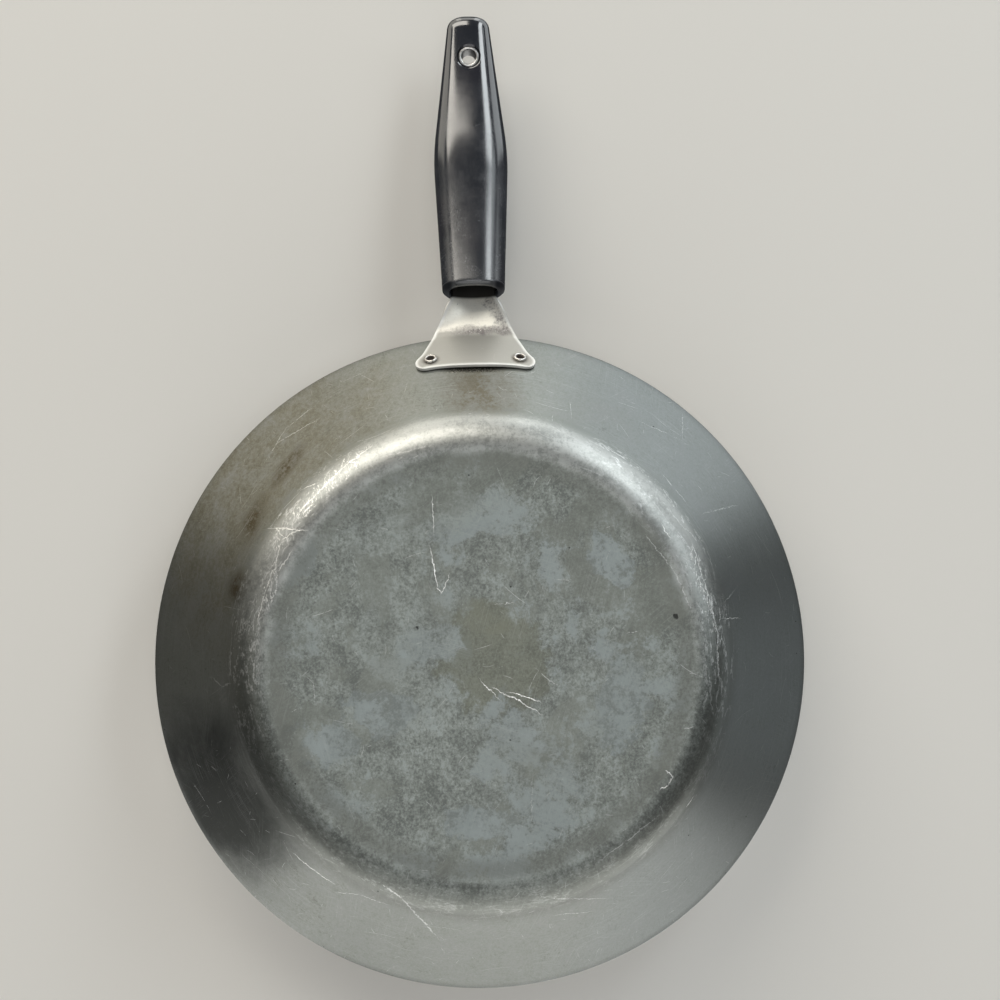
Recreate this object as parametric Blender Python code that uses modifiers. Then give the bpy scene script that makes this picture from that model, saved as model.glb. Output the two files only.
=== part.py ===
"""Aluminium frying pan: a pressed pan body, a sheet steel bracket held by two
tubular rivets, and a hollow moulded grip clinched to the bracket's tang by a
hanging eyelet.

Metres, +Z up. The origin is the centre of the pan's underside, and the handle
runs along +X. The X-Z plane is the mirror plane.
"""

import math
from collections import namedtuple

import bmesh
import bpy
from mathutils import Matrix, Vector

# Pan body
RIM_RADIUS = 0.1524
PAN_HEIGHT = 0.055
WALL_SLOPE = math.radians(48.0)
WALL_THICKNESS = 0.0032
BASE_THICKNESS = 0.0048
CORNER_RADIUS = 0.0225
RIM_ROUND = 0.0008

# Bracket sheet
SHEET = 0.0013
FLANGE_LENGTH = 0.0238
FLANGE_CROWN = 0.0009
BEND_BELOW_RIM = 0.0027
BEND_RADIUS = 0.006
NECK_LENGTH = 0.0203
NECK_RISE = math.radians(20.9)
NECK_HALF_WIDTH = 0.0101
NECK_CUP_RADIUS = 0.0120
NECK_FLARE = math.radians(26.0)
FLANGE_FLARE = math.radians(21.3)
EAR_FLARE_START = 0.0138
EAR_FLARE_RADIUS = 0.0125
EAR_TURN = math.radians(35.0)
EAR_RADIUS = 0.0055
EDGE_BULGE = 0.0022
TANG_HALF_WIDTH = 0.0062
TANG_TAPER_END = 0.034
TANG_DIP_START = 0.018
TANG_DIP_END = 0.074
TANG_PAST_EYELET = 0.0066
TANG_END_TURN = math.radians(80.0)

# Rivets
RIVET_SPACING = 0.0411
RIVET_INSET = 0.0062
RIVET_SHANK_RADIUS = 0.0021
RIVET_PIT_RADIUS = 0.00165
RIVET_PIT_DEPTH = 0.0032
RIVET_RING_RADIUS = 0.0031
RIVET_RING_HEIGHT = 0.0011
RIVET_DOME_RADIUS = 0.0048
RIVET_DOME_HEIGHT = 0.0014

# Line of the handle
HANDLE_LENGTH = 0.1373
HANDLE_RISE = math.radians(13.0)
HANDLE_END_SLOPE = math.radians(-5.0)

# Grip
MOUTH_WIDTH = 0.0296
KNEE_WIDTH = 0.0361
TIP_WIDTH = 0.0191
MOUTH_DEPTH = 0.0234
KNEE_DEPTH = 0.0262
TIP_DEPTH = 0.0106
KNEE_DISTANCE = 0.069
KNEE_BLEND = 0.011
GRIP_SQUARENESS = 2.5
GRIP_WALL = 0.0034
MOUTH_ROUND = 0.0019
TIP_ROUND = 0.0065
TIP_SQUARENESS = 2.6
TIP_END_TURN = math.radians(86.0)
POCKET_DEPTH = 0.080

# Hanging eyelet
EYELET_FROM_TIP = 0.0206
EYELET_BORE_RADIUS = 0.00345
EYELET_TUBE_WALL = 0.0006
EYELET_FLANGE_RADIUS = 0.0050
EYELET_FLANGE_HEIGHT = 0.0009
EYELET_RECESS = 0.0016
COUNTERBORE_RADIUS = 0.00575

# Clearance between pieces that touch
FIT = 0.0003

# Facets
PAN_STEPS = 88
RIVET_STEPS = 24
EYELET_STEPS = 32
GRIP_SIDES = 36
SHEET_COLUMNS = 18
CUTTER_SIDES = 32
CUT_MARGIN = 0.003
SHARP_EDGE = math.radians(35.0)

RIM_CORNER = RIM_RADIUS + RIM_ROUND * (1.0 / math.tan(WALL_SLOPE / 2.0) - 1.0)
UP_WALL = Vector((math.cos(WALL_SLOPE), 0.0, math.sin(WALL_SLOPE)))
OUTWARD = Vector((math.sin(WALL_SLOPE), 0.0, -math.cos(WALL_SLOPE)))


def clear_scene():
    """Remove every object of the scene that the script starts in."""
    for scene_object in list(bpy.data.objects):
        bpy.data.objects.remove(scene_object, do_unlink=True)


def make_collection(name):
    collection = bpy.data.collections.new(name)
    bpy.context.scene.collection.children.link(collection)
    return collection


def make_material(name, colour, metallic, roughness):
    material = bpy.data.materials.new(name)
    material.use_nodes = True
    shader = material.node_tree.nodes["Principled BSDF"]
    shader.inputs["Base Color"].default_value = (*colour, 1.0)
    shader.inputs["Metallic"].default_value = metallic
    shader.inputs["Roughness"].default_value = roughness
    material.diffuse_color = (*colour, 1.0)
    return material


def add_object(name, bm, collection, material=None):
    """Turn a bmesh into a named object, shaded smooth but for its sharp edges."""
    mesh = bpy.data.meshes.new(name)
    bm.to_mesh(mesh)
    bm.free()
    mesh.shade_smooth()
    mesh.set_sharp_from_angle(angle=SHARP_EDGE)
    if material is not None:
        mesh.materials.append(material)
    new_object = bpy.data.objects.new(name, mesh)
    collection.objects.link(new_object)
    return new_object


def add_cutter(name, bm, collection):
    cutter = add_object(name, bm, collection)
    cutter.hide_render = True
    cutter.display_type = "WIRE"
    return cutter


def cut(target, cutter):
    """Take a cutter's shape away from an object."""
    boolean = target.modifiers.new("cut_" + cutter.name, "BOOLEAN")
    boolean.operation = "DIFFERENCE"
    boolean.solver = "EXACT"
    boolean.object = cutter


def direction(slope):
    """The way along a line that rises at a slope, in the X-Z plane."""
    return Vector((math.cos(slope), 0.0, math.sin(slope)))


def upward_normal(slope):
    return Vector((-math.sin(slope), 0.0, math.cos(slope)))


def smooth_step(start, end, value):
    """0 before start, 1 after end, and a smooth rise between them."""
    share = min(max((value - start) / (end - start), 0.0), 1.0)
    return share * share * (3.0 - 2.0 * share)


def mix(first, second, share):
    return first + (second - first) * share


def arc(centre_x, centre_z, radius, start, end, steps):
    """Points of an arc in the X-Z plane, from one angle to another."""
    points = []
    for step in range(steps + 1):
        angle = mix(start, end, step / steps)
        points.append((centre_x + radius * math.cos(angle), centre_z + radius * math.sin(angle)))
    return points


def turned(name, profile, steps, collection, material, closed=False):
    """Spin an X-Z profile, which runs down its outer side, round the Z axis."""
    bm = bmesh.new()
    verts = [bm.verts.new((x, 0.0, z)) for x, z in profile]
    for first, second in zip(verts, verts[1:]):
        bm.edges.new((first, second))
    if closed:
        bm.edges.new((verts[-1], verts[0]))
    piece = add_object(name, bm, collection, material)
    screw = piece.modifiers.new("spin", "SCREW")
    screw.axis = "Z"
    screw.steps = steps
    screw.render_steps = steps
    screw.use_smooth_shade = True
    screw.use_merge_vertices = True
    screw.merge_threshold = 0.00001
    return piece


def loft(rings):
    """A closed body through rings of points, with a flat cap on each end."""
    bm = bmesh.new()
    loops = [[bm.verts.new(point) for point in ring] for ring in rings]
    sides = len(loops[0])
    for first, second in zip(loops, loops[1:]):
        for side in range(sides):
            after = (side + 1) % sides
            bm.faces.new((first[side], first[after], second[after], second[side]))
    bm.faces.new(list(reversed(loops[0])))
    bm.faces.new(loops[-1])
    bmesh.ops.recalc_face_normals(bm, faces=bm.faces)
    return bm


def cylinder(radius, start, end, direction_matrix):
    """A cylinder along a frame's own Z, between two distances from its origin."""
    bm = bmesh.new()
    middle = Matrix.Translation((0.0, 0.0, (start + end) / 2.0))
    bmesh.ops.create_cone(
        bm,
        cap_ends=True,
        segments=CUTTER_SIDES,
        radius1=radius,
        radius2=radius,
        depth=end - start,
        matrix=direction_matrix @ middle,
    )
    return bm


# Pan body


def wall_point(down, offset=0.0):
    """A point at a distance down the wall's outer face from the rim, in the X-Z plane."""
    rim = Vector((RIM_CORNER, 0.0, PAN_HEIGHT))
    return rim - UP_WALL * down + OUTWARD * offset


def corner_arc(corner_radius, level, radius, steps):
    """The arc that joins a level floor to the sloping wall, from the floor up."""
    centre_x = corner_radius - radius * math.tan(WALL_SLOPE / 2.0)
    start = -math.pi / 2.0
    return arc(centre_x, level + radius, radius, start, start + WALL_SLOPE, steps)


def pan_profile():
    """Inner floor, inner wall, rim, outer wall and underside, axis to axis."""
    run_per_height = 1.0 / math.tan(WALL_SLOPE)
    outer_corner = RIM_CORNER - PAN_HEIGHT * run_per_height
    inner_rim = RIM_CORNER - WALL_THICKNESS / math.sin(WALL_SLOPE)
    inner_corner = inner_rim - (PAN_HEIGHT - BASE_THICKNESS) * run_per_height
    inner = corner_arc(inner_corner, BASE_THICKNESS, CORNER_RADIUS - WALL_THICKNESS, 7)
    outer = corner_arc(outer_corner, 0.0, CORNER_RADIUS, 8)

    round_level = PAN_HEIGHT - RIM_ROUND
    inner_round_x = inner_rim + RIM_ROUND / math.tan((math.pi - WALL_SLOPE) / 2.0)
    outer_round_x = RIM_CORNER - RIM_ROUND / math.tan(WALL_SLOPE / 2.0)
    upright = math.pi / 2.0
    inner_round = arc(inner_round_x, round_level, RIM_ROUND, upright + WALL_SLOPE, upright, 3)
    outer_round = arc(outer_round_x, round_level, RIM_ROUND, upright, WALL_SLOPE - upright, 5)

    profile = [(0.0, BASE_THICKNESS)]
    profile += inner
    profile += inner_round
    profile += outer_round
    profile += list(reversed(outer))
    profile.append((0.0, 0.0))
    return profile


def rivet_frame(side):
    """Where a rivet sits: origin on the wall's outer face, own Z away from the wall."""
    down = FLANGE_LENGTH + BEND_BELOW_RIM - RIVET_INSET
    seat = wall_point(down)
    turn = math.asin(side * RIVET_SPACING / 2.0 / seat.x)
    around = Matrix.Rotation(turn, 4, "Z")
    lean = Matrix.Rotation(math.pi - WALL_SLOPE, 4, "Y")
    return around @ Matrix.Translation(seat) @ lean


def build_pan_body(parts, cutters, material):
    pan = turned("pan_body", pan_profile(), PAN_STEPS, parts, material)
    for side, side_name in ((1, "left"), (-1, "right")):
        reach = WALL_THICKNESS + CUT_MARGIN
        hole = cylinder(RIVET_SHANK_RADIUS + FIT, -reach, CUT_MARGIN, rivet_frame(side))
        cut(pan, add_cutter("wall_hole_" + side_name, hole, cutters))


# Line of the handle


def sheet_seat():
    """How far the middle of the bracket's sheet lies off the wall's outer face."""
    return FIT + SHEET / 2.0


def bend_vertex():
    """Where the flange's straight line meets the neck's, in the X-Z plane."""
    return wall_point(BEND_BELOW_RIM, sheet_seat())


def mouth_sheet_height():
    """Height of the sheet's middle over the grip's centre line at the mouth."""
    return MOUTH_DEPTH / 2.0 - GRIP_WALL - FIT - SHEET / 2.0


def handle_slope(distance):
    return mix(HANDLE_RISE, HANDLE_END_SLOPE, distance / HANDLE_LENGTH)


def handle_normal(distance):
    return upward_normal(handle_slope(distance))


def handle_centre(distance):
    """A point of the grip's centre line, which is an arc that starts at the mouth."""
    sheet_entry = bend_vertex() + direction(NECK_RISE) * NECK_LENGTH
    start = sheet_entry - handle_normal(0.0) * mouth_sheet_height()
    curvature = (HANDLE_END_SLOPE - HANDLE_RISE) / HANDLE_LENGTH
    slope = handle_slope(distance)
    if abs(slope - HANDLE_RISE) < 1e-6:
        return start + direction(HANDLE_RISE) * distance
    ahead = (math.sin(slope) - math.sin(HANDLE_RISE)) / curvature
    climb = (math.cos(HANDLE_RISE) - math.cos(slope)) / curvature
    return start + Vector((ahead, 0.0, climb))


def handle_point(distance, across, up):
    return handle_centre(distance) + Vector((0.0, across, 0.0)) + handle_normal(distance) * up


def handle_frame(distance):
    """A frame on the centre line, with its own Z along the handle's upward normal."""
    lean = Matrix.Rotation(-handle_slope(distance), 4, "Y")
    return Matrix.Translation(handle_centre(distance)) @ lean


def eyelet_distance():
    return HANDLE_LENGTH - EYELET_FROM_TIP


# Bracket


Station = namedtuple("Station", "centre slope half_width rim_share cup crown sag")


def sheet_lengths():
    """Straight flange, bend and straight neck, measured along the sheet."""
    turn = WALL_SLOPE - NECK_RISE
    tangent = BEND_RADIUS * math.tan(turn / 2.0)
    return FLANGE_LENGTH - tangent, BEND_RADIUS * turn, NECK_LENGTH - tangent


def side_half_width(travel):
    """Half the sheet's width at a distance from its lower edge, ears left square."""
    flange, bend, neck = sheet_lengths()
    neck_run = flange + bend + neck - max(travel, flange + bend)
    flange_run = max(flange + bend - travel, 0.0)
    ear_run = max(EAR_FLARE_START - travel, 0.0)
    width = NECK_HALF_WIDTH + neck_run * math.tan(NECK_FLARE)
    width += flange_run * math.tan(FLANGE_FLARE)
    return width + ear_run**2 / (2.0 * EAR_FLARE_RADIUS)


def sheet_half_width(travel):
    """Half the sheet's width at a distance from its lower edge, with round ears."""
    ear_end = EAR_RADIUS * (1.0 + math.sin(EAR_TURN))
    if travel >= ear_end:
        return side_half_width(travel)
    ear_centre = side_half_width(ear_end) - EAR_RADIUS * math.cos(EAR_TURN)
    rise = travel - EAR_RADIUS
    return ear_centre + math.sqrt(max(EAR_RADIUS**2 - rise**2, 0.0))


def sheet_station(travel):
    """The sheet's section at a distance from its lower edge, up to the grip's mouth."""
    flange, bend, neck = sheet_lengths()
    vertex = bend_vertex()
    bend_centre = vertex - UP_WALL * (FLANGE_LENGTH - flange) + OUTWARD * BEND_RADIUS
    if travel <= flange:
        slope = WALL_SLOPE
        centre = vertex - UP_WALL * (FLANGE_LENGTH - travel)
    elif travel <= flange + bend:
        slope = mix(WALL_SLOPE, NECK_RISE, (travel - flange) / bend)
        centre = bend_centre + upward_normal(slope) * BEND_RADIUS
    else:
        past_vertex = travel - flange - bend + NECK_LENGTH - neck
        ease = smooth_step(NECK_LENGTH / 2.0, NECK_LENGTH, past_vertex)
        slope = mix(NECK_RISE, HANDLE_RISE, ease)
        centre = vertex + direction(NECK_RISE) * past_vertex
    straighten = smooth_step(flange, flange + bend + neck, travel)
    fade = 1.0 - smooth_step(0.0, flange, travel)
    return Station(
        centre=centre,
        slope=slope,
        half_width=sheet_half_width(travel),
        rim_share=1.0 - straighten,
        cup=straighten / NECK_CUP_RADIUS,
        crown=FLANGE_CROWN * fade,
        sag=EDGE_BULGE * fade,
    )


def tang_station(distance):
    """The tang's section at a distance into the grip, on its way down to the eyelet."""
    round_start = eyelet_distance() + TANG_PAST_EYELET - TANG_HALF_WIDTH
    dip = smooth_step(TANG_DIP_START, TANG_DIP_END, distance)
    half_width = mix(NECK_HALF_WIDTH, TANG_HALF_WIDTH, smooth_step(0.0, TANG_TAPER_END, distance))
    if distance > round_start:
        half_width = math.sqrt(TANG_HALF_WIDTH**2 - (distance - round_start) ** 2)
    return Station(
        centre=handle_point(distance, 0.0, mouth_sheet_height() * (1.0 - dip)),
        slope=handle_slope(distance),
        half_width=half_width,
        rim_share=0.0,
        cup=(1.0 - smooth_step(0.0, TANG_DIP_END, distance)) / NECK_CUP_RADIUS,
        crown=0.0,
        sag=0.0,
    )


def bracket_stations():
    """Sections of the sheet from the flange's lower edge to the tang's round end."""
    flange, bend, neck = sheet_lengths()
    stations = []
    ear_steps = 7
    for step in range(ear_steps):
        angle = (math.pi / 2.0 + EAR_TURN) * step / ear_steps
        stations.append(sheet_station(EAR_RADIUS * (1.0 - math.cos(angle))))
    ear_end = EAR_RADIUS * (1.0 + math.sin(EAR_TURN))
    for start, length, steps in (
        (ear_end, flange - ear_end, 5),
        (flange, bend, 4),
        (flange + bend, neck, 5),
    ):
        for step in range(steps):
            stations.append(sheet_station(start + length * step / steps))
    stations.append(sheet_station(flange + bend + neck))

    round_start = eyelet_distance() + TANG_PAST_EYELET - TANG_HALF_WIDTH
    tang_steps = 15
    for step in range(1, tang_steps + 1):
        stations.append(tang_station(round_start * step / tang_steps))
    round_steps = 5
    for step in range(1, round_steps + 1):
        angle = TANG_END_TURN * step / round_steps
        stations.append(tang_station(round_start + TANG_HALF_WIDTH * math.sin(angle)))
    return stations


def sheet_row(station):
    """Points across the middle of the sheet at one station."""
    points = []
    radius = station.centre.x
    for column in range(SHEET_COLUMNS + 1):
        across = mix(-station.half_width, station.half_width, column / SHEET_COLUMNS)
        around_rim = radius - math.sqrt(radius**2 - across**2)
        swell = max(1.0 - (2.0 * across / RIVET_SPACING) ** 2, 0.0) ** 2
        outward = station.cup * across * across / 2.0 + station.crown * swell
        point = station.centre + Vector((-station.rim_share * around_rim, across, 0.0))
        point -= upward_normal(station.slope) * outward
        point -= direction(station.slope) * (station.sag * swell)
        points.append(point)
    return points


def build_bracket(parts, cutters, material):
    bm = bmesh.new()
    rows = [[bm.verts.new(point) for point in sheet_row(each)] for each in bracket_stations()]
    for first, second in zip(rows, rows[1:]):
        for column in range(SHEET_COLUMNS):
            after = column + 1
            bm.faces.new((first[column], first[after], second[after], second[column]))
    bmesh.ops.recalc_face_normals(bm, faces=bm.faces)
    bracket = add_object("handle_bracket", bm, parts, material)
    solidify = bracket.modifiers.new("sheet", "SOLIDIFY")
    solidify.thickness = SHEET
    solidify.offset = 0.0
    solidify.use_even_offset = True
    reach = sheet_seat() + SHEET + CUT_MARGIN
    for side, side_name in ((1, "left"), (-1, "right")):
        hole = cylinder(RIVET_SHANK_RADIUS + FIT, -CUT_MARGIN, reach, rivet_frame(side))
        cut(bracket, add_cutter("ear_hole_" + side_name, hole, cutters))
    radius = eyelet_tube_radius() + FIT
    hole = cylinder(radius, -CUT_MARGIN, CUT_MARGIN, handle_frame(eyelet_distance()))
    cut(bracket, add_cutter("tang_hole", hole, cutters))


def rivet_profile():
    """Pit, rolled ring, shank and inner dome, down to the axis inside the pan."""
    ring_base = 2.0 * FIT + SHEET
    ring_top = ring_base + RIVET_RING_HEIGHT
    ring_middle = (RIVET_RING_RADIUS + RIVET_PIT_RADIUS) / 2.0
    ring_half = (RIVET_RING_RADIUS - RIVET_PIT_RADIUS) / 2.0
    dome_base = -(WALL_THICKNESS + FIT)
    profile = [(0.0, ring_top - RIVET_PIT_DEPTH), (RIVET_PIT_RADIUS, ring_top - RIVET_PIT_DEPTH)]
    roll_steps = 8
    for step in range(roll_steps + 1):
        angle = math.pi * (1.0 - step / roll_steps)
        rise = (RIVET_RING_HEIGHT - FIT) * math.sin(angle)
        profile.append((ring_middle + ring_half * math.cos(angle), ring_base + FIT + rise))
    profile.append((RIVET_RING_RADIUS, ring_base))
    profile.append((RIVET_SHANK_RADIUS, ring_base))
    profile.append((RIVET_SHANK_RADIUS, dome_base))
    dome_steps = 5
    for step in range(dome_steps + 1):
        angle = math.pi / 2.0 * step / dome_steps
        profile.append((RIVET_DOME_RADIUS * math.cos(angle), dome_base - RIVET_DOME_HEIGHT * math.sin(angle)))
    profile[-1] = (0.0, dome_base - RIVET_DOME_HEIGHT)
    return profile


def build_rivets(parts, material):
    for side, side_name in ((1, "left"), (-1, "right")):
        rivet = turned("bracket_rivet_" + side_name, rivet_profile(), RIVET_STEPS, parts, material)
        rivet.matrix_world = rivet_frame(side)


# Grip


def taper(distance, at_mouth, at_knee, at_tip):
    """Two straight tapers that meet at the knee, with a round blend between them."""
    first = (at_knee - at_mouth) / KNEE_DISTANCE
    second = (at_tip - at_knee) / (HANDLE_LENGTH - KNEE_DISTANCE)
    past = distance - KNEE_DISTANCE
    if past <= -KNEE_BLEND:
        return at_knee + first * past
    if past >= KNEE_BLEND:
        return at_knee + second * past
    return at_knee + first * past + (second - first) * (past + KNEE_BLEND) ** 2 / (4.0 * KNEE_BLEND)


def grip_ring(distance, inset, shrink=1.0):
    """One rounded section of the grip, drawn in by an inset and scaled about its centre."""
    station = max(distance, 0.0)
    half_width = (taper(station, MOUTH_WIDTH, KNEE_WIDTH, TIP_WIDTH) / 2.0 - inset) * shrink
    half_depth = (taper(station, MOUTH_DEPTH, KNEE_DEPTH, TIP_DEPTH) / 2.0 - inset) * shrink
    points = []
    for side in range(GRIP_SIDES):
        angle = 2.0 * math.pi * side / GRIP_SIDES
        across = math.copysign(abs(math.cos(angle)) ** (2.0 / GRIP_SQUARENESS), math.cos(angle))
        up = math.copysign(abs(math.sin(angle)) ** (2.0 / GRIP_SQUARENESS), math.sin(angle))
        points.append(handle_point(distance, half_width * across, half_depth * up))
    return points


def grip_rings():
    rings = []
    mouth_steps = 3
    for step in range(mouth_steps + 1):
        angle = math.pi / 2.0 * step / mouth_steps
        distance = MOUTH_ROUND * (1.0 - math.cos(angle))
        rings.append(grip_ring(distance, MOUTH_ROUND * (1.0 - math.sin(angle))))
    tip_start = HANDLE_LENGTH - TIP_ROUND
    body_steps = 16
    for step in range(1, body_steps + 1):
        rings.append(grip_ring(mix(MOUTH_ROUND, tip_start, step / body_steps), 0.0))
    tip_steps = 6
    for step in range(1, tip_steps + 1):
        share = math.sin(TIP_END_TURN * step / tip_steps)
        shrink = (1.0 - share**TIP_SQUARENESS) ** (1.0 / TIP_SQUARENESS)
        rings.append(grip_ring(tip_start + TIP_ROUND * share, 0.0, shrink))
    return rings


def pocket_rings():
    """The hollow that opens at the mouth."""
    rings = []
    steps = 12
    for step in range(steps + 1):
        rings.append(grip_ring(mix(-CUT_MARGIN, POCKET_DEPTH, step / steps), GRIP_WALL))
    return rings


def slot_rings():
    """The flat slot that takes the tang from the hollow to past the eyelet."""
    rings = []
    half_width = TANG_HALF_WIDTH + FIT
    half_height = SHEET / 2.0 + FIT
    start = POCKET_DEPTH - CUT_MARGIN
    end = eyelet_distance() + TANG_PAST_EYELET + FIT
    steps = 8
    for step in range(steps + 1):
        distance = mix(start, end, step / steps)
        corners = ((1, 1), (-1, 1), (-1, -1), (1, -1))
        rings.append([handle_point(distance, half_width * x, half_height * z) for x, z in corners])
    return rings


def grip_half_depth(distance):
    return taper(distance, MOUTH_DEPTH, KNEE_DEPTH, TIP_DEPTH) / 2.0


def build_grip(parts, cutters, material):
    grip = add_object("handle_grip", loft(grip_rings()), parts, material)
    cut(grip, add_cutter("grip_pocket", loft(pocket_rings()), cutters))
    cut(grip, add_cutter("tang_slot", loft(slot_rings()), cutters))
    distance = eyelet_distance()
    surface = grip_half_depth(distance)
    frame = handle_frame(distance)
    through = surface + CUT_MARGIN
    hole = cylinder(eyelet_tube_radius() + FIT, -through, through, frame)
    cut(grip, add_cutter("eyelet_hole", hole, cutters))
    floor = surface - EYELET_RECESS - EYELET_FLANGE_HEIGHT - FIT
    lower = cylinder(COUNTERBORE_RADIUS, -through, -floor, frame)
    cut(grip, add_cutter("counterbore_lower", lower, cutters))
    upper = cylinder(COUNTERBORE_RADIUS, floor, through, frame)
    cut(grip, add_cutter("counterbore_upper", upper, cutters))


# Hanging eyelet


def eyelet_tube_radius():
    return EYELET_BORE_RADIUS + EYELET_TUBE_WALL


def eyelet_profile():
    """A tube with a rolled flange at each end, outer side from top to bottom."""
    half_length = grip_half_depth(eyelet_distance()) - EYELET_RECESS
    tube = eyelet_tube_radius()
    middle = (EYELET_FLANGE_RADIUS + EYELET_BORE_RADIUS) / 2.0
    half = (EYELET_FLANGE_RADIUS - EYELET_BORE_RADIUS) / 2.0
    base = half_length - EYELET_FLANGE_HEIGHT
    lip = EYELET_FLANGE_HEIGHT / 3.0
    roll_steps = 6
    top = []
    for step in range(roll_steps + 1):
        angle = math.pi * (1.0 - step / roll_steps)
        rise = (EYELET_FLANGE_HEIGHT - lip) * math.sin(angle)
        top.append((middle + half * math.cos(angle), base + lip + rise))
    top += [(EYELET_FLANGE_RADIUS, base), (tube, base)]
    bottom = [(x, -z) for x, z in reversed(top)]
    return top + bottom


def build_eyelet(parts, material):
    profile = eyelet_profile()
    eyelet = turned("hanging_eyelet", profile, EYELET_STEPS, parts, material, closed=True)
    eyelet.matrix_world = handle_frame(eyelet_distance())


def main():
    clear_scene()
    parts = make_collection("frying_pan")
    cutters = make_collection("cutters")
    aluminium = make_material("worn_aluminium", (0.27, 0.28, 0.26), 1.0, 0.42)
    steel = make_material("brushed_steel", (0.62, 0.60, 0.56), 1.0, 0.32)
    bright = make_material("bright_metal", (0.75, 0.74, 0.71), 1.0, 0.22)
    phenolic = make_material("black_phenolic", (0.022, 0.022, 0.024), 0.0, 0.32)
    build_pan_body(parts, cutters, aluminium)
    build_bracket(parts, cutters, steel)
    build_rivets(parts, bright)
    build_grip(parts, cutters, phenolic)
    build_eyelet(parts, bright)


main()
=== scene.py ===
"""Aluminium frying pan, seen from below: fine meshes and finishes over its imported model.

Lengths are in metres. The handle runs along +X and the pan's base rests on Z = 0.
"""

import math
from collections import namedtuple

import bmesh
import bpy
from bpy.props import FloatProperty, FloatVectorProperty, IntProperty, PointerProperty
from mathutils import Matrix, Vector


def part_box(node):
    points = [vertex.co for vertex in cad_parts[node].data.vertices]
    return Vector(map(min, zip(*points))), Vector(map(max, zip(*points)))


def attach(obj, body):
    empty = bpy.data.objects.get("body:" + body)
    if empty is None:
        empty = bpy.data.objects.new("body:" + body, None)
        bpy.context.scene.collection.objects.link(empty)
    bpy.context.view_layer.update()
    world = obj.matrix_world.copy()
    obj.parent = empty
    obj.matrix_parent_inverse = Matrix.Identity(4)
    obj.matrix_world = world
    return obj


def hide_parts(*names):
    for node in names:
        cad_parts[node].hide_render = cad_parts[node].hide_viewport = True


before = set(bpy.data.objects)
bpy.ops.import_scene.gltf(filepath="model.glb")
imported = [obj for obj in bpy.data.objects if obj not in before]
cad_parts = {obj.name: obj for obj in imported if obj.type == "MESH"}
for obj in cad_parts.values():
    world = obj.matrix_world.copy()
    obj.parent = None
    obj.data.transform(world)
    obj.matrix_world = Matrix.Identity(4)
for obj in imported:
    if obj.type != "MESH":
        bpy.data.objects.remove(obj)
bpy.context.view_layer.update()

bl_info = {
    "name": "Aluminium frying pan",
    "version": (1, 0, 0),
    "blender": (4, 5, 0),
    "location": "View3D > Sidebar > Frying pan",
    "description": "Builds the frying pan's fine meshes, finishes and stage",
    "category": "Add Mesh",
}

PAN_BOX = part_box("pan_body")
MILLIMETRE = 0.001


# Scratches on the pan's outside, on the surface laid out flat: X and Y of the middle in
# millimetres, turn in degrees, half length and half width in millimetres.

DEEP_SCRATCHES = (
    (42.4, -20.5, -9, 10.2, 0.20),
    (32.1, -18.2, -40, 1.6, 0.18),
    (35.0, -15.5, 23, 4.7, 0.16),
    (65.7, -20.4, -3, 8.6, 0.16),
    (61.4, -85.7, -81, 10.1, 0.28),
    (60.1, -89.2, -43, 4.2, 0.26),
    (58.1, -83.9, 59, 4.4, 0.28),
    (46.3, -85.6, 35, 5.8, 0.28),
    (50.1, -88.7, 13, 6.7, 0.20),
    (38.1, -92.6, 22, 7.3, 0.22),
    (25.8, -96.8, 15, 7.0, 0.26),
    (72.1, -75.9, 43, 6.6, 0.28),
    (81.2, -67.0, 45, 7.3, 0.26),
    (91.2, -55.7, 51, 10.7, 0.24),
    (69.7, -75.3, 46, 3.4, 0.28),
    (80.6, -76.2, 76, 4.4, 0.22),
    (45.1, 96.0, -13, 6.9, 0.24),
    (33.0, 99.2, -17, 8.5, 0.22),
    (17.9, 102.8, -10, 8.7, 0.26),
    (0.7, 104.3, -1, 11.4, 0.22),
    (56.5, 82.2, -27, 4.2, 0.20),
    (19.3, 106.2, 1, 3.8, 0.22),
    (17.7, 113.9, 89, 8.4, 0.16),
    (-13.2, 9.3, -61, 6.8, 0.16),
    (-17.8, 17.5, -58, 9.3, 0.18),
    (-14.9, 18.0, -71, 8.0, 0.15),
    (-11.6, 3.1, -44, 6.8, 0.15),
    (-49.9, 80.5, -52, 2.3, 0.20),
    (-52.9, 81.2, 30, 2.3, 0.20),
    (-55.8, 78.3, 61, 2.3, 0.22),
    (-91.9, -83.6, -54, 7.5, 0.20),
    (-98.3, -74.9, -57, 5.5, 0.18),
    (-64.1, 92.0, 36, 2.9, 0.22),
)
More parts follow.
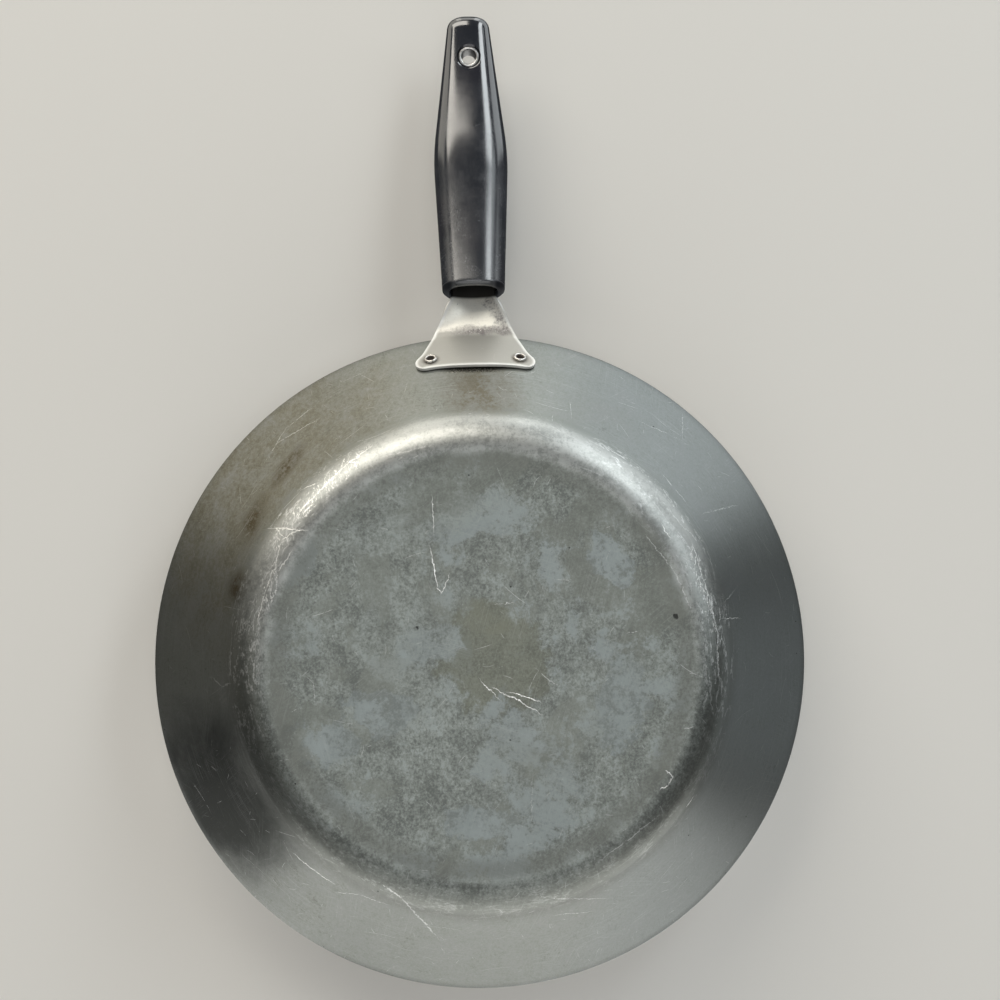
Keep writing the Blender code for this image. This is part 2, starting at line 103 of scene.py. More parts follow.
LIGHT_SCRATCHES = (
    (74.2, -85.6, 45, 7.3, 0.22),
    (112.5, -103.6, 26, 12.7, 0.30),
    (127.8, -91.9, 52, 9.9, 0.26),
    (118.2, -91.9, 65, 13.2, 0.34),
    (94.1, -30.8, 78, 12.5, 0.22),
    (46.6, 79.2, -37, 10.3, 0.24),
    (30.2, 88.7, -23, 10.6, 0.24),
    (78.9, 92.2, -37, 9.5, 0.24),
    (27.0, 113.5, 57, 8.6, 0.18),
    (72.7, 120.4, 72, 15.3, 0.26),
    (12.0, 66.1, -89, 2.8, 0.18),
    (66.2, 71.7, -4, 3.7, 0.24),
    (114.6, 93.5, -72, 13.0, 0.16),
    (120.6, 109.1, 15, 10.7, 0.15),
    (-105.5, -63.9, 83, 8.3, 0.24),
    (-107.0, -51.3, -72, 7.3, 0.24),
    (-99.4, -41.8, -49, 7.3, 0.34),
    (-116.9, -30.7, -25, 16.7, 0.50),
    (-6.1, -124.9, -60, 5.8, 0.30),
    (-7.7, -117.5, 75, 4.0, 0.26),
    (-10.6, -73.9, -1, 5.6, 0.16),
    (-6.4, 27.7, -51, 6.6, 0.18),
    (-29.9, 89.6, 83, 2.5, 0.24),
    (-106.8, 39.6, -75, 18.7, 0.20),
    (-118.1, 40.5, -82, 10.3, 0.18),
    (-61.2, 20.2, 1, 12.7, 0.16),
    (36.0, 35.3, -86, 4.4, 0.16),
    (26.0, 9.3, 84, 6.1, 0.16),
    (-77.3, 63.0, 55, 18.0, 0.24),
    (-5.4, 104.6, -7, 14.8, 0.24),
)

# Pale oxide patches on the base, with the same columns.
PALE_PATCHES = (
    (-21.5, -43.0, 0, 9.0, 17.0),
    (-34.0, -67.0, 0, 10.0, 12.0),
    (-70.0, -2.5, 0, 7.0, 18.0),
    (-19.0, 60.0, 20, 20.0, 11.0),
    (4.4, -33.8, 0, 5.5, 5.8),
    (47.0, -79.0, 30, 13.0, 6.0),
    (44.0, 57.0, -30, 13.0, 7.0),
)

# Brown dirt on the wall, and the crest areas that are scored all over.
BROWN_PATCHES = (
    (97.0, -93.0, 35, 18.0, 7.5),
    (70.0, -107.0, 12, 19.0, 10.0),
    (37.0, -112.0, 0, 10.0, 8.0),
)
SCORED_PATCHES = (
    (86.0, -61.0, 47, 17.0, 5.0),
    (72.0, -77.0, 44, 9.0, 4.5),
    (58.0, -87.0, 10, 8.0, 6.0),
    (36.0, -92.0, 15, 15.0, 3.0),
    (30.0, 99.0, -14, 26.0, 3.2),
)


# Sizes and colours that a user would change


def length(name, default, description):
    return FloatProperty(
        name=name, description=description, default=default, precision=5, unit="LENGTH"
    )


def angle(name, degrees, description):
    return FloatProperty(
        name=name, description=description, default=math.radians(degrees), subtype="ANGLE"
    )


def colour(name, default, description):
    return FloatVectorProperty(
        name=name,
        description=description,
        default=default,
        subtype="COLOR",
        size=3,
        min=0.0,
        max=1.0,
    )


def share(name, default, description):
    return FloatProperty(
        name=name, description=description, default=default, min=0.0, max=1.0, subtype="FACTOR"
    )


def count(name, default, description):
    return IntProperty(name=name, description=description, default=default, min=3)


class PanSettings(bpy.types.PropertyGroup):
    rim_radius: length("Rim radius", PAN_BOX[1].x, "Outer radius at the rim")
    height: length("Height", PAN_BOX[1].z, "Height of the rim over the base")
    wall_slope: angle("Wall slope", 48.0, "Rise of the wall from level")
    wall_thickness: length("Wall", 0.0032, "Thickness of the wall")
    base_thickness: length("Base", 0.0048, "Thickness of the base")
    corner_radius: length("Corner radius", 0.0225, "Outer radius between base and wall")
    rim_round: length("Rim round", 0.0008, "Radius on the rim's two edges")
    dents: length("Dents", 0.00012, "Depth of the slight unevenness of the pressing")
    columns: count("Columns", 320, "Faces round the pan")
    metal: colour("Metal", (0.232, 0.252, 0.234), "Worn aluminium of the outside")
    bloom: colour("Bloom", (0.345, 0.388, 0.392), "Pale oxide clouds on the base")
    tarnish: colour("Tarnish", (0.150, 0.152, 0.104), "Olive brown heat stain")
    bare: colour("Bare metal", (0.72, 0.73, 0.72), "Fresh aluminium in the scratches")
    cooking: colour("Cooking face", (0.40, 0.40, 0.38), "Turned aluminium of the inside")


class BracketSettings(bpy.types.PropertyGroup):
    sheet: length("Sheet", 0.0013, "Thickness of the sheet")
    clearance: length("Clearance", 0.0003, "Gap between pieces that touch")
    flange_length: length("Flange length", 0.0238, "From the lower edge to the bend")
    flange_crown: length("Flange crown", 0.0009, "Rise of the flange between the rivets")
    bend_below_rim: length("Bend below rim", 0.0027, "From the rim down to the bend")
    bend_radius: length("Bend radius", 0.006, "Radius of the bend")
    neck_length: length("Neck length", 0.0203, "From the bend to the grip")
    neck_rise: angle("Neck rise", 20.9, "Slope of the neck")
    neck_half_width: length("Neck half width", 0.0101, "Half the width at the grip")
    neck_cup_radius: length("Neck cup radius", 0.0120, "Radius of the cupped neck at the grip")
    neck_flare: angle("Neck flare", 26.0, "Spread of each side of the neck")
    flange_flare: angle("Flange flare", 21.3, "Spread of each side of the flange")
    ear_start: length("Ear start", 0.0138, "Height of the ears over the lower edge")
    ear_flare_radius: length("Ear flare radius", 0.0125, "Radius of the sweep into the ears")
    ear_turn: angle("Ear turn", 35.0, "How far the round ear end turns past square")
    ear_radius: length("Ear radius", 0.0055, "Radius of the round ear end")
    edge_bulge: length("Edge bulge", 0.0022, "Rise of the lower edge's middle")
    tang_half_width: length("Tang half width", 0.0062, "Half the width inside the grip")
    tang_end: length("Tang end", 0.070, "How far the modelled tang runs into the grip")
    tang_taper_end: length("Tang taper end", 0.034, "Where the tang has its full narrowness")
    tang_dip_start: length("Tang dip start", 0.018, "Where the tang leaves the grip's upper wall")
    tang_dip_end: length("Tang dip end", 0.074, "Where the tang lies flat on the centre line")
    edge_round: length("Edge round", 0.0002, "Radius on the sheet's edges")
    steel: colour("Steel", (0.43, 0.42, 0.385), "Satin steel")
    # Scuffed steel, darkened further as painted shade on the neck's right side and in the bend
    scuff_and_shade: colour("Scuff", (0.24, 0.225, 0.225), "Dull scuffed steel")


class RivetSettings(bpy.types.PropertyGroup):
    spacing: length("Spacing", 0.0411, "Between the two rivets")
    inset: length("Inset", 0.0062, "From the flange's lower edge")
    shank_radius: length("Shank radius", 0.0021, "Radius of the shank")
    pit_radius: length("Pit radius", 0.00165, "Radius of the hole in the head")
    pit_depth: length("Pit depth", 0.0027, "Depth of the hole in the head")
    ring_radius: length("Ring radius", 0.0031, "Outer radius of the rolled head")
    ring_height: length("Ring height", 0.0011, "Height of the rolled head")
    dome_radius: length("Dome radius", 0.0048, "Radius of the head inside the pan")
    dome_height: length("Dome height", 0.0014, "Height of the head inside the pan")
    bright: colour("Bright metal", (0.74, 0.72, 0.68), "Rolled ring")
    bronze: colour("Bronze", (0.085, 0.062, 0.048), "Dark pit")


class GripSettings(bpy.types.PropertyGroup):
    length: length("Length", 0.1373, "Along the curved centre line")
    rise: angle("Rise", 13.0, "Slope of the centre line at the mouth")
    end_slope: angle("End slope", -5.0, "Slope of the centre line at the tip")
    mouth_width: length("Mouth width", 0.0296, "Width at the mouth")
    knee_width: length("Knee width", 0.0361, "Greatest width")
    tip_width: length("Tip width", 0.0191, "Width at the tip")
    mouth_depth: length("Mouth depth", 0.0234, "Depth at the mouth")
    knee_depth: length("Knee depth", 0.0262, "Greatest depth")
    tip_depth: length("Tip depth", 0.0106, "Depth at the tip")
    knee: length("Knee distance", 0.069, "From the mouth to the widest place")
    knee_blend: length("Knee blend", 0.011, "Half the length of the blend at the knee")
    squareness: FloatProperty(
        name="Squareness", description="Exponent of the rounded section", default=2.5, min=2.0
    )
    wall: length("Wall", 0.0034, "Thickness of the wall at the mouth")
    trim: length("Trim", 0.00004, "How far the fine surface stays within the packed one")
    mouth_chamfer: length("Mouth chamfer", 0.0015, "Width of the chamfer round the mouth")
    mouth_soft: length("Mouth soft edge", 0.0004, "Run of the round at each edge of the chamfer")
    lip_round: length("Lip round", 0.0006, "Inner radius on the mouth's edge")
    tip_round: length("Tip round", 0.0065, "Length of the rounded tip")
    tip_squareness: FloatProperty(
        name="Tip squareness", description="Exponent of the tip's outline", default=2.6, min=2.0
    )
    pocket: length("Pocket", 0.076, "Depth of the hollow")
    sides: count("Sides", 144, "Faces round the grip")
    phenolic: colour("Phenolic", (0.012, 0.015, 0.021), "Black moulding")
    haze: colour("Haze", (0.046, 0.050, 0.058), "Dull worn film on the moulding")


class EyeletSettings(bpy.types.PropertyGroup):
    from_tip: length("From the tip", 0.0206, "Centre of the eyelet from the tip")
    bore_radius: length("Bore radius", 0.00345, "Radius of the hanging hole")
    tube_wall: length("Tube wall", 0.0006, "Thickness of the tube")
    flange_radius: length("Flange radius", 0.0050, "Radius of the rolled flange")
    flange_height: length("Flange height", 0.0009, "Height of the rolled flange")
    recess: length("Recess", 0.0016, "Depth of the flange under the grip's surface")
    counterbore_radius: length("Counterbore radius", 0.00575, "Radius of the sunk seat")
    chrome: colour("Chrome", (0.70, 0.70, 0.68), "Plated eyelet")


class StageSettings(bpy.types.PropertyGroup):
    floor: colour("Floor", (0.80, 0.79, 0.77), "Plain pale floor")
    backdrop: colour("Backdrop", (0.76, 0.745, 0.71), "Plain pale wall behind the pan")
    sky: share("Sky", 0.07, "Strength of the even light from all round")
    light: FloatProperty(
        name="Light", description="Level of all the lamps together", default=1.0, min=0.0
    )


class FryingPanSettings(bpy.types.PropertyGroup):
    pan: PointerProperty(type=PanSettings)
    bracket: PointerProperty(type=BracketSettings)
    rivets: PointerProperty(type=RivetSettings)
    grip: PointerProperty(type=GripSettings)
    eyelet: PointerProperty(type=EyeletSettings)
    stage: PointerProperty(type=StageSettings)


# Node trees


class Field:
    """A socket of a node tree that adds Math nodes when it is used in arithmetic."""

    def __init__(self, tree, socket=None):
        self.tree = tree
        self.socket = socket

    def node(self, kind, settings=None, sockets=None, output=0):
        """Add a node: its settings come first, then the value or link of each socket."""
        made = self.tree.nodes.new(kind)
        for name, value in (settings or {}).items():
            setattr(made, name, value)
        for name, value in (sockets or {}).items():
            if isinstance(value, Field):
                self.tree.links.new(value.socket, made.inputs[name])
            else:
                made.inputs[name].default_value = value
        return Field(self.tree, made.outputs[output])

    def other(self, name):
        """Another output of the same node."""
        return Field(self.tree, self.socket.node.outputs[name])

    def math(self, operation, *values):
        return self.node("ShaderNodeMath", {"operation": operation}, dict(enumerate(values)))

    def vector(self, operation, *values, output=0):
        settings = {"operation": operation}
        return self.node("ShaderNodeVectorMath", settings, dict(enumerate(values)), output)

    def __add__(self, value):
        return self.math("ADD", self, value)

    def __radd__(self, value):
        return self.math("ADD", value, self)

    def __sub__(self, value):
        return self.math("SUBTRACT", self, value)

    def __rsub__(self, value):
        return self.math("SUBTRACT", value, self)

    def __mul__(self, value):
        return self.math("MULTIPLY", self, value)

    def __rmul__(self, value):
        return self.math("MULTIPLY", value, self)

    def __truediv__(self, value):
        return self.math("DIVIDE", self, value)

    def __rtruediv__(self, value):
        return self.math("DIVIDE", value, self)

    def __abs__(self):
        return self.math("ABSOLUTE", self)

    def length(self):
        return self.vector("LENGTH", self, output="Value")

    def distance(self, point):
        return self.vector("SUBTRACT", self, point).length()

    def parts(self):
        """The X and the Y of a vector."""
        x = self.node("ShaderNodeSeparateXYZ", None, {0: self})
        return x, x.other("Y")

    def joined(self, x, y, z=0.0):
        """A vector of three numbers, fixed or linked."""
        return self.node("ShaderNodeCombineXYZ", None, {0: x, 1: y, 2: z})

    def times(self, vector):
        """A vector, fixed or linked, multiplied by this number."""
        sockets = {0: vector, "Scale": self}
        return self.node("ShaderNodeVectorMath", {"operation": "SCALE"}, sockets)


def scaled(rgb, factor):
    return tuple(channel * factor for channel in rgb)


def rgba(rgb):
    return (*rgb, 1.0)


def smooth(value, low, high):
    """0 below low, 1 above high, and a smooth rise between them."""
    sockets = {"Value": value, "From Min": low, "From Max": high}
    return value.node("ShaderNodeMapRange", {"interpolation_type": "SMOOTHSTEP"}, sockets)


def between(value, low, high, soft):
    """1 between two levels, with soft ends."""
    return smooth(value, low - soft, low + soft) * (1.0 - smooth(value, high - soft, high + soft))


def strongest(first, second):
    """The higher of two masks at each point."""
    return first.math("MAXIMUM", first, second)


def tint(mask, first, second):
    """A colour between two, either of them a colour or a link."""
    first = first if isinstance(first, Field) else rgba(first)
    second = second if isinstance(second, Field) else rgba(second)
    sockets = {0: mask, 6: first, 7: second}
    return mask.node("ShaderNodeMix", {"data_type": "RGBA"}, sockets, output=2)


def noise(at, scale, detail=3.0, roughness=0.55, distortion=0.0):
    sockets = {"Vector": at, "Scale": scale, "Detail": detail}
    sockets.update({"Roughness": roughness, "Distortion": distortion})
    return at.node("ShaderNodeTexNoise", {"noise_dimensions": "3D"}, sockets)


def mapped(at, location=(0.0, 0.0, 0.0), turn=0.0, scale=(1.0, 1.0, 1.0)):
    """Coordinates that are scaled, turned about Z, then moved."""
    sockets = {"Vector": at, "Location": location, "Rotation": (0.0, 0.0, turn), "Scale": scale}
    return at.node("ShaderNodeMapping", {"vector_type": "POINT"}, sockets)


def strokes(at, seed, spacing, half_length, half_width, amount, round_axis=False):
    """One scratch in each cell of a scattered pattern, in its own direction.

    A scratch bends a little and fades to its ends. With round_axis the scratches
    follow circles about the middle of the pattern.
    """
    shift = (seed * 0.731, seed * 0.417, 0.0)
    moved = at.vector("ADD", at, shift)
    settings = {"voronoi_dimensions": "2D", "feature": "F1"}
    cell = at.node("ShaderNodeTexVoronoi", settings, {"Vector": moved, "Scale": 1.0 / spacing})
    centre = cell.other("Position")
    lot = at.node("ShaderNodeSeparateColor", None, {"Color": cell.other("Color")})
    x, y = at.vector("SUBTRACT", moved, centre).parts()
    turn = lot * (2.0 * math.pi)
    if round_axis:
        out_x, out_y = at.vector("SUBTRACT", centre, shift).parts()
        bearing = at.math("ARCTAN2", out_y, out_x)
        turn = bearing + math.pi / 2.0 + (lot - 0.5) * 0.55
    run = at.math("COSINE", turn)
    rise = at.math("SINE", turn)
    along = x * run + y * rise
    across = y * run - x * rise + along * along * (lot.other("Green") - 0.5) * (0.5 / half_length)
    reach = (lot.other("Green") * 0.7 + 0.3) * half_length
    line = 1.0 - smooth(abs(across), half_width * 0.4, half_width)
    ends = 1.0 - smooth(abs(along) / reach, 0.4, 1.0)
    strength = smooth(amount - lot.other("Blue"), 0.0, amount)
    return line * ends * strength


def hairlines(at, turn, seed, long=0.030, fine=0.00040):
    """Many faint parallel scratches that come and go along their length."""
    sockets = {"Vector": at, "Angle": turn}
    turned = at.node("ShaderNodeVectorRotate", {"rotation_type": "Z_AXIS"}, sockets)
    stretch = (1.0 / long, 1.0 / fine, 1.0 / long)
    turned = at.vector("MULTIPLY_ADD", turned, stretch, (seed, -seed, seed))
    return smooth(noise(turned, 1.0, 1.0), 0.58, 0.74)


def after(value, at):
    """The same coordinates, but for an immeasurably small shift by a value.

    So the renderer works out that value first, and has room for all the steps of a long material.
    """
    return at.vector("MULTIPLY_ADD", value, (1e-9, 1e-9, 0.0), at)


def nearest_shape(at, table, in_turn):
    """Share of the way out to the edge of the nearest ellipse of a table, 1 at the edge.

    As many rows as in_turn says are worked out together, and then the next ones.
    """
    nearest = None
    for row, (x, y, turn, half_length, half_width) in enumerate(table):
        if row % in_turn == in_turn - 1:
            at = after(nearest, at)
        sockets = {"Vector": at, "Location": (x * MILLIMETRE, y * MILLIMETRE, 0.0)}
        sockets["Rotation"] = (0.0, 0.0, math.radians(turn))
        sockets["Scale"] = (half_length * MILLIMETRE, half_width * MILLIMETRE, 1.0)
        local = at.node("ShaderNodeMapping", {"vector_type": "TEXTURE"}, sockets)
        reach = local.length()
        nearest = reach if nearest is None else at.math("MINIMUM", nearest, reach)
    return nearest


def placed_scratches(at, table):
    """The scratches of a table: each is a thin ellipse, so it tapers to its ends."""
    return 1.0 - smooth(nearest_shape(at, table, 8), 0.62, 1.20)


def placed_patches(at, table, ragged, core=0.80):
    """Ragged patches at the places of a table, with the same columns as the scratches."""
    return 1.0 - smooth(nearest_shape(at, table, 3) + ragged, core, 1.02)


def specks(at, scale, small, large, rare, flat=False):
    """Round specks, each in one of the few cells of a scattered pattern whose lot is high."""
    settings = {"voronoi_dimensions": "2D"} if flat else None
    cell = at.node("ShaderNodeTexVoronoi", settings, {"Vector": at, "Scale": scale})
    lot = at.node("ShaderNodeSeparateColor", None, {"Color": cell.other("Color")})
    return (1.0 - smooth(cell, small, large)) * at.math("GREATER_THAN", lot, rare)


def contour(at, width, scale, detail, roughness):
    """Thin wandering lines along one level of a noise."""
    level = abs(noise(at, scale, detail, roughness) - 0.5)
    return 1.0 - smooth(level, 0.0, width)


def bumped(height, distance):
    """A normal from a height field, in metres of relief for a height of 1."""
    sockets = {"Height": height, "Strength": 1.0, "Distance": distance}
    return height.node("ShaderNodeBump", None, sockets)


def finish(name, paint, *settings):
    """A material whose shader takes what the paint function returns."""
    material = bpy.data.materials.new(name)
    material.use_nodes = True
    tree = material.node_tree
    shader = tree.nodes["Principled BSDF"]
    for socket, value in paint(Field(tree), *settings).items():
        if isinstance(value, Field):
            tree.links.new(value.socket, shader.inputs[socket])
        else:
            shader.inputs[socket].default_value = value
    return material


def attribute(nodes, name):
    return nodes.node("ShaderNodeAttribute", {"attribute_name": name}, output="Vector")


def place(nodes):
    return nodes.node("ShaderNodeTexCoord", output="Object")


# Finishes


# Colours of marks and stains on the pan's outside, and of the light and shade painted on it

DULL_OXIDE = (0.148, 0.158, 0.138)
FOOT_SHADE = (0.160, 0.167, 0.150)
# Polished crest, lightened further as a painted highlight
POLISHED_CREST_AND_HIGHLIGHT = (0.47, 0.48, 0.465)
# Painted shade on the crest's half away from the handle
PAINTED_CREST_SHADE = (0.150, 0.156, 0.142)
WALL_GREY = (0.320, 0.325, 0.310)
HEAT_BROWN = (0.205, 0.178, 0.108)
WALL_GRIME = (0.120, 0.119, 0.100)
RUBBED_WALL = (0.420, 0.425, 0.410)
BURNT_OIL = (0.088, 0.068, 0.035)
DRIP_BROWN = (0.135, 0.115, 0.075)
CRUST_DARK = (0.05, 0.045, 0.035)
CRUST_PALE = (0.40, 0.39, 0.33)
# Painted cool light on the wall's right side
COOL_LIGHT_TINT = (0.290, 0.318, 0.328)
# Painted shade low on the wall's left side
PAINTED_LOW_SHADE = (0.036, 0.040, 0.035)
FRESH_CUT = (0.96, 0.96, 0.93)
PIT_BLACK = (0.02, 0.02, 0.02)
GRAIN_SHADE = (0.10, 0.105, 0.095)

# Middles of the stains, and of the painted shade low on the left, on the laid out surface
OLIVE_STAIN = (0.0015, 0.0045)
HEAT_STAIN = (0.095, -0.110)
DRIP_STAIN = (0.130, 0.002)
CRUST = (0.1472, -0.002)
LOW_LEFT_SHADE_MIDDLE = (-0.066, -0.132)

# Middle and radius of each of the two large pits
LARGE_PITS = (
    ((0.0161, -0.0283, 0.0), 0.0007),
    ((0.0189, 0.0855, 0.0), 0.0012),
)

# The pan's outside laid out flat: where a point is, how far it is from the middle, its
# bearing, the noises that all the marks share, and masks for its zones.

Laid = namedtuple("Laid", "at x y travel bearing")
Noises = namedtuple("Noises", "cloud broad patch fine grain ragged")
Zones = namedtuple("Zones", "edge base corner wall foot upper")


def pan_laid_out(nodes):
    """Where a point is on the laid out surface."""
    at = attribute(nodes, "laid_out")
    x, y = at.parts()
    return Laid(at, x, y, at.length(), at.math("ARCTAN2", y, x))


def pan_noises(at):
    """From broad clouds down to fine grain."""
    cloud = noise(at, 24.0, 7.0, 0.66, 0.35)
    broad = noise(mapped(at, (0.6, 0.2, 0.0)), 11.0, 4.0, 0.55)
    patch = noise(mapped(at, (1.7, 0.4, 0.0)), 62.0, 6.0, 0.70, 0.2)
    fine = noise(mapped(at, (0.3, 2.9, 0.0)), 420.0, 4.0, 0.72)
    grain = noise(mapped(at, (4.3, 1.9, 0.0)), 950.0, 3.0, 0.75)
    ragged = (patch - 0.5) * 0.5 + (fine - 0.5) * 0.3
    return Noises(cloud, broad, patch, fine, grain, ragged)


def pan_zones(laid, patch):
    """Masks by the distance from the middle, and one for the half towards the handle."""
    edge = laid.travel + (patch - 0.5) * 0.006
    base = 1.0 - smooth(edge, 0.0900, 0.0985)
    corner = between(edge, 0.0950, 0.1130, 0.004)
    wall = smooth(edge, 0.1040, 0.1220)
    foot = between(edge, 0.0860, 0.0945, 0.003)
    upper = smooth(laid.x, -0.020, 0.050)
    return Zones(edge, base, corner, wall, foot, upper)


def pan_oxide(pan, at, noises, zones):
    """A mottled ground, pale ragged clouds, darker patches with a crisp border, and a crest with a
    painted highlight on one half and painted shade on the other.
    """
    cloud, broad, patch, fine, grain, ragged = noises
    mottle = (cloud - 0.5) * 1.3 + (patch - 0.5) * 2.6 + (fine - 0.5) * 2.5 + (grain - 0.5) * 2.4 + 0.5
    metal = tint(mottle, scaled(pan.metal, 0.58), scaled(pan.metal, 1.46))
    bloom = smooth(cloud + ragged * 0.8, 0.49, 0.60) * (0.25 + 0.75 * smooth(broad, 0.42, 0.58))
    pale = placed_patches(at, PALE_PATCHES, (cloud - 0.5) * 2.8 + (patch - 0.5) * 2.6)
    pale = pale * (0.45 + 0.55 * smooth(patch + (fine - 0.5) * 0.4, 0.42, 0.56))
    bloom = strongest(bloom, pale)
    wisp = smooth(patch + (fine - 0.5) * 0.5, 0.55, 0.68)
    tide = noise(mapped(at, (2.2, 5.1, 0.0)), 19.0, 4.0, 0.60, 0.9)
    dull = smooth(tide + (fine - 0.5) * 0.05, 0.525, 0.545) + smooth(tide, 0.40, 0.56) * 0.4
    metal = tint(bloom * zones.base * 0.72, metal, pan.bloom)
    metal = tint(wisp * (1.0 - zones.wall * 0.5) * 0.36, metal, pan.bloom)
    metal = tint(dull * (1.0 - bloom) * zones.base * 0.42, metal, DULL_OXIDE)
    metal = tint(zones.foot * 0.50, metal, FOOT_SHADE)
    # The crest is polished and painted lighter as a highlight on the half towards the handle, and painted
    # darker as shade on the other half.
    worn_crest = smooth(mottle, 0.10, 0.75)
    crest = zones.corner * (0.06 + 0.54 * zones.upper + 0.34 * zones.upper * worn_crest)
    metal = tint(crest, metal, POLISHED_CREST_AND_HIGHLIGHT)
    low_crest = between(zones.edge, 0.1010, 0.1170, 0.004) * (1.0 - zones.upper)
    metal = tint(low_crest * 0.70, metal, PAINTED_CREST_SHADE)
    metal = tint(zones.wall * 0.30, metal, WALL_GREY)
    return metal, bloom, dull


def away_from(at, middle, squeeze=None):
    """Distance from a middle, with X and Y squeezed by two factors where they are given."""
    x, y = middle
    away = at.vector("ADD", at, (-x, -y, 0.0))
    if squeeze:
        away = at.vector("MULTIPLY", away, (*squeeze, 1.0))
    return away.length()


def pan_stains(pan, laid, noises, zones, metal, bloom):
    """The olive stain on the base, and on the wall heat, grime, burnt oil, drips, painted cool light on
    the right and painted shade low on the left.
    """
    at, x, y = laid.at, laid.x, laid.y
    cloud, _, patch, fine, grain, ragged = noises
    stain_r = away_from(at, OLIVE_STAIN) + (patch - 0.5) * 0.040
    stain = 1.0 - smooth(stain_r + (cloud - 0.5) * 0.05 + (fine - 0.5) * 0.006, 0.0190, 0.0250)
    metal = tint(stain * (0.50 + ragged * 1.6), metal, pan.tarnish)
    heat_r = away_from(at, HEAT_STAIN) + (cloud - 0.5) * 0.10
    heat = (1.0 - smooth(heat_r, 0.030, 0.115)) * zones.wall
    metal = tint(heat * (0.46 + (patch - 0.5) * 1.6 + (fine - 0.5) * 1.2), metal, HEAT_BROWN)
    grime = (cloud - 0.5) * 1.6 + (patch - 0.5) * 3.0 + (fine - 0.5) * 3.0 + (grain - 0.5) * 3.0
    metal = tint((grime + 0.25) * zones.wall * 0.55, metal, WALL_GRIME)
    metal = tint((0.15 - grime) * zones.wall * 0.40, metal, RUBBED_WALL)
    dirt = (cloud - 0.5) * 1.5 + (patch - 0.5) * 2.4 + (fine - 0.5) * 2.0
    scorch = placed_patches(after(bloom, at), BROWN_PATCHES, dirt, 0.40)
    scorch = scorch * (0.45 + 0.55 * smooth(patch + (fine - 0.5) * 1.2, 0.40, 0.60))
    metal = tint(scorch * 0.92, metal, BURNT_OIL)
    drip_r = away_from(at, DRIP_STAIN, (0.75, 1.5)) + (patch - 0.5) * 0.060
    drip = (1.0 - smooth(drip_r, 0.008, 0.040)) * zones.wall
    drip = drip * (0.35 + 0.65 * smooth(patch + (fine - 0.5) * 0.6, 0.40, 0.60))
    metal = tint(drip * 0.85, metal, DRIP_BROWN)
    crust = 1.0 - smooth(abs(x - CRUST[0]) + (fine - 0.5) * 0.003, 0.0008, 0.0026)
    crust = crust * (1.0 - smooth(abs(y - CRUST[1]) + (patch - 0.5) * 0.01, 0.008, 0.016)) * 0.9
    metal = tint(crust, metal, tint(smooth(grain, 0.42, 0.62), CRUST_DARK, CRUST_PALE))
    # Painted cool light: the wall's right side is tinted cool grey.
    cool = smooth(y + (cloud - 0.5) * 0.1, 0.01, 0.10) * zones.wall
    metal = tint(cool * 0.40, metal, COOL_LIGHT_TINT)
    # Painted shade: a dark patch low on the wall's left side.
    low_left_shade_reach = away_from(at, LOW_LEFT_SHADE_MIDDLE) + (cloud - 0.5) * 0.06
    low_left_shade = (1.0 - smooth(low_left_shade_reach, 0.018, 0.062)) * zones.wall
    metal = tint(low_left_shade * 0.92, metal, PAINTED_LOW_SHADE)
    return metal, stain, heat, scorch, drip


def crooked(at, first):
    """Coordinates that wander and jitter, so that a scratch laid on them isn't straight."""
    wander = noise(mapped(at, (7.0, 3.0, 0.0)), 120.0, 3.0, 0.6).other("Color")
    bent = at.vector("MULTIPLY_ADD", wander, (0.0024, 0.0024, 0.0), after(first, at))
    jagged = noise(mapped(at, (2.0, 8.0, 0.0)), 420.0, 3.0, 0.65).other("Color")
    bent = at.vector("MULTIPLY_ADD", jagged, (0.0022, 0.0022, 0.0), bent)
    return at.vector("SUBTRACT", bent, (0.0023, 0.0023, 0.0))


def measured_scratches(at, bent, noises):
    """The scratches of the two tables, and the crest areas that are scored all over."""
    broken = smooth(noises.fine, 0.40, 0.50)
    deep = placed_scratches(bent, DEEP_SCRATCHES) * (0.45 + 0.55 * broken)
    later = after(deep, at)
    scored = (noises.cloud - 0.5) * 1.2 + (noises.patch - 0.5) * 1.6
    scored = placed_patches(later, SCORED_PATCHES, scored)
    net = contour(mapped(bent, (0.5, 0.2, 0.0), 0.75, (90.0, 330.0, 1.0)), 0.022, 1.0, 3.0, 0.6)
    deep = strongest(deep, net * scored * (0.35 + 0.65 * broken))
    light = placed_scratches(after(scored, bent), LIGHT_SCRATCHES) * broken
    return deep, light, broken


def scattered_scratches(at, noises, zones, light):
    """Strokes strewn at random, and hair scratches that lie together in drifts."""
    marks = strokes(after(light, at), 1, 0.034, 0.0110, 0.00013, 0.40)
    marks = strongest(marks, strokes(after(marks, at), 2, 0.050, 0.0150, 0.00014, 0.40))
    marks = strongest(marks, strokes(after(marks, at), 3, 0.011, 0.0034, 0.00013, 0.75))
    round_marks = strokes(after(marks, at), 4, 0.030, 0.0130, 0.00014, 0.60, True)
    marks = strongest(marks, round_marks * (1.0 - zones.base))
    later = after(marks, at)
    veil = hairlines(later, 0.3, 3.0) * smooth(noises.patch, 0.50, 0.62)
    veil = strongest(veil, hairlines(later, 1.25, 7.0) * smooth(noises.cloud, 0.48, 0.60))
    later = after(veil, at)
    veil = strongest(veil, hairlines(later, 2.2, 11.0) * smooth(0.95 - noises.patch, 0.44, 0.56))
    veil = strongest(veil, hairlines(later, 2.85, 17.0) * smooth(noises.broad, 0.46, 0.60))
    return marks, veil


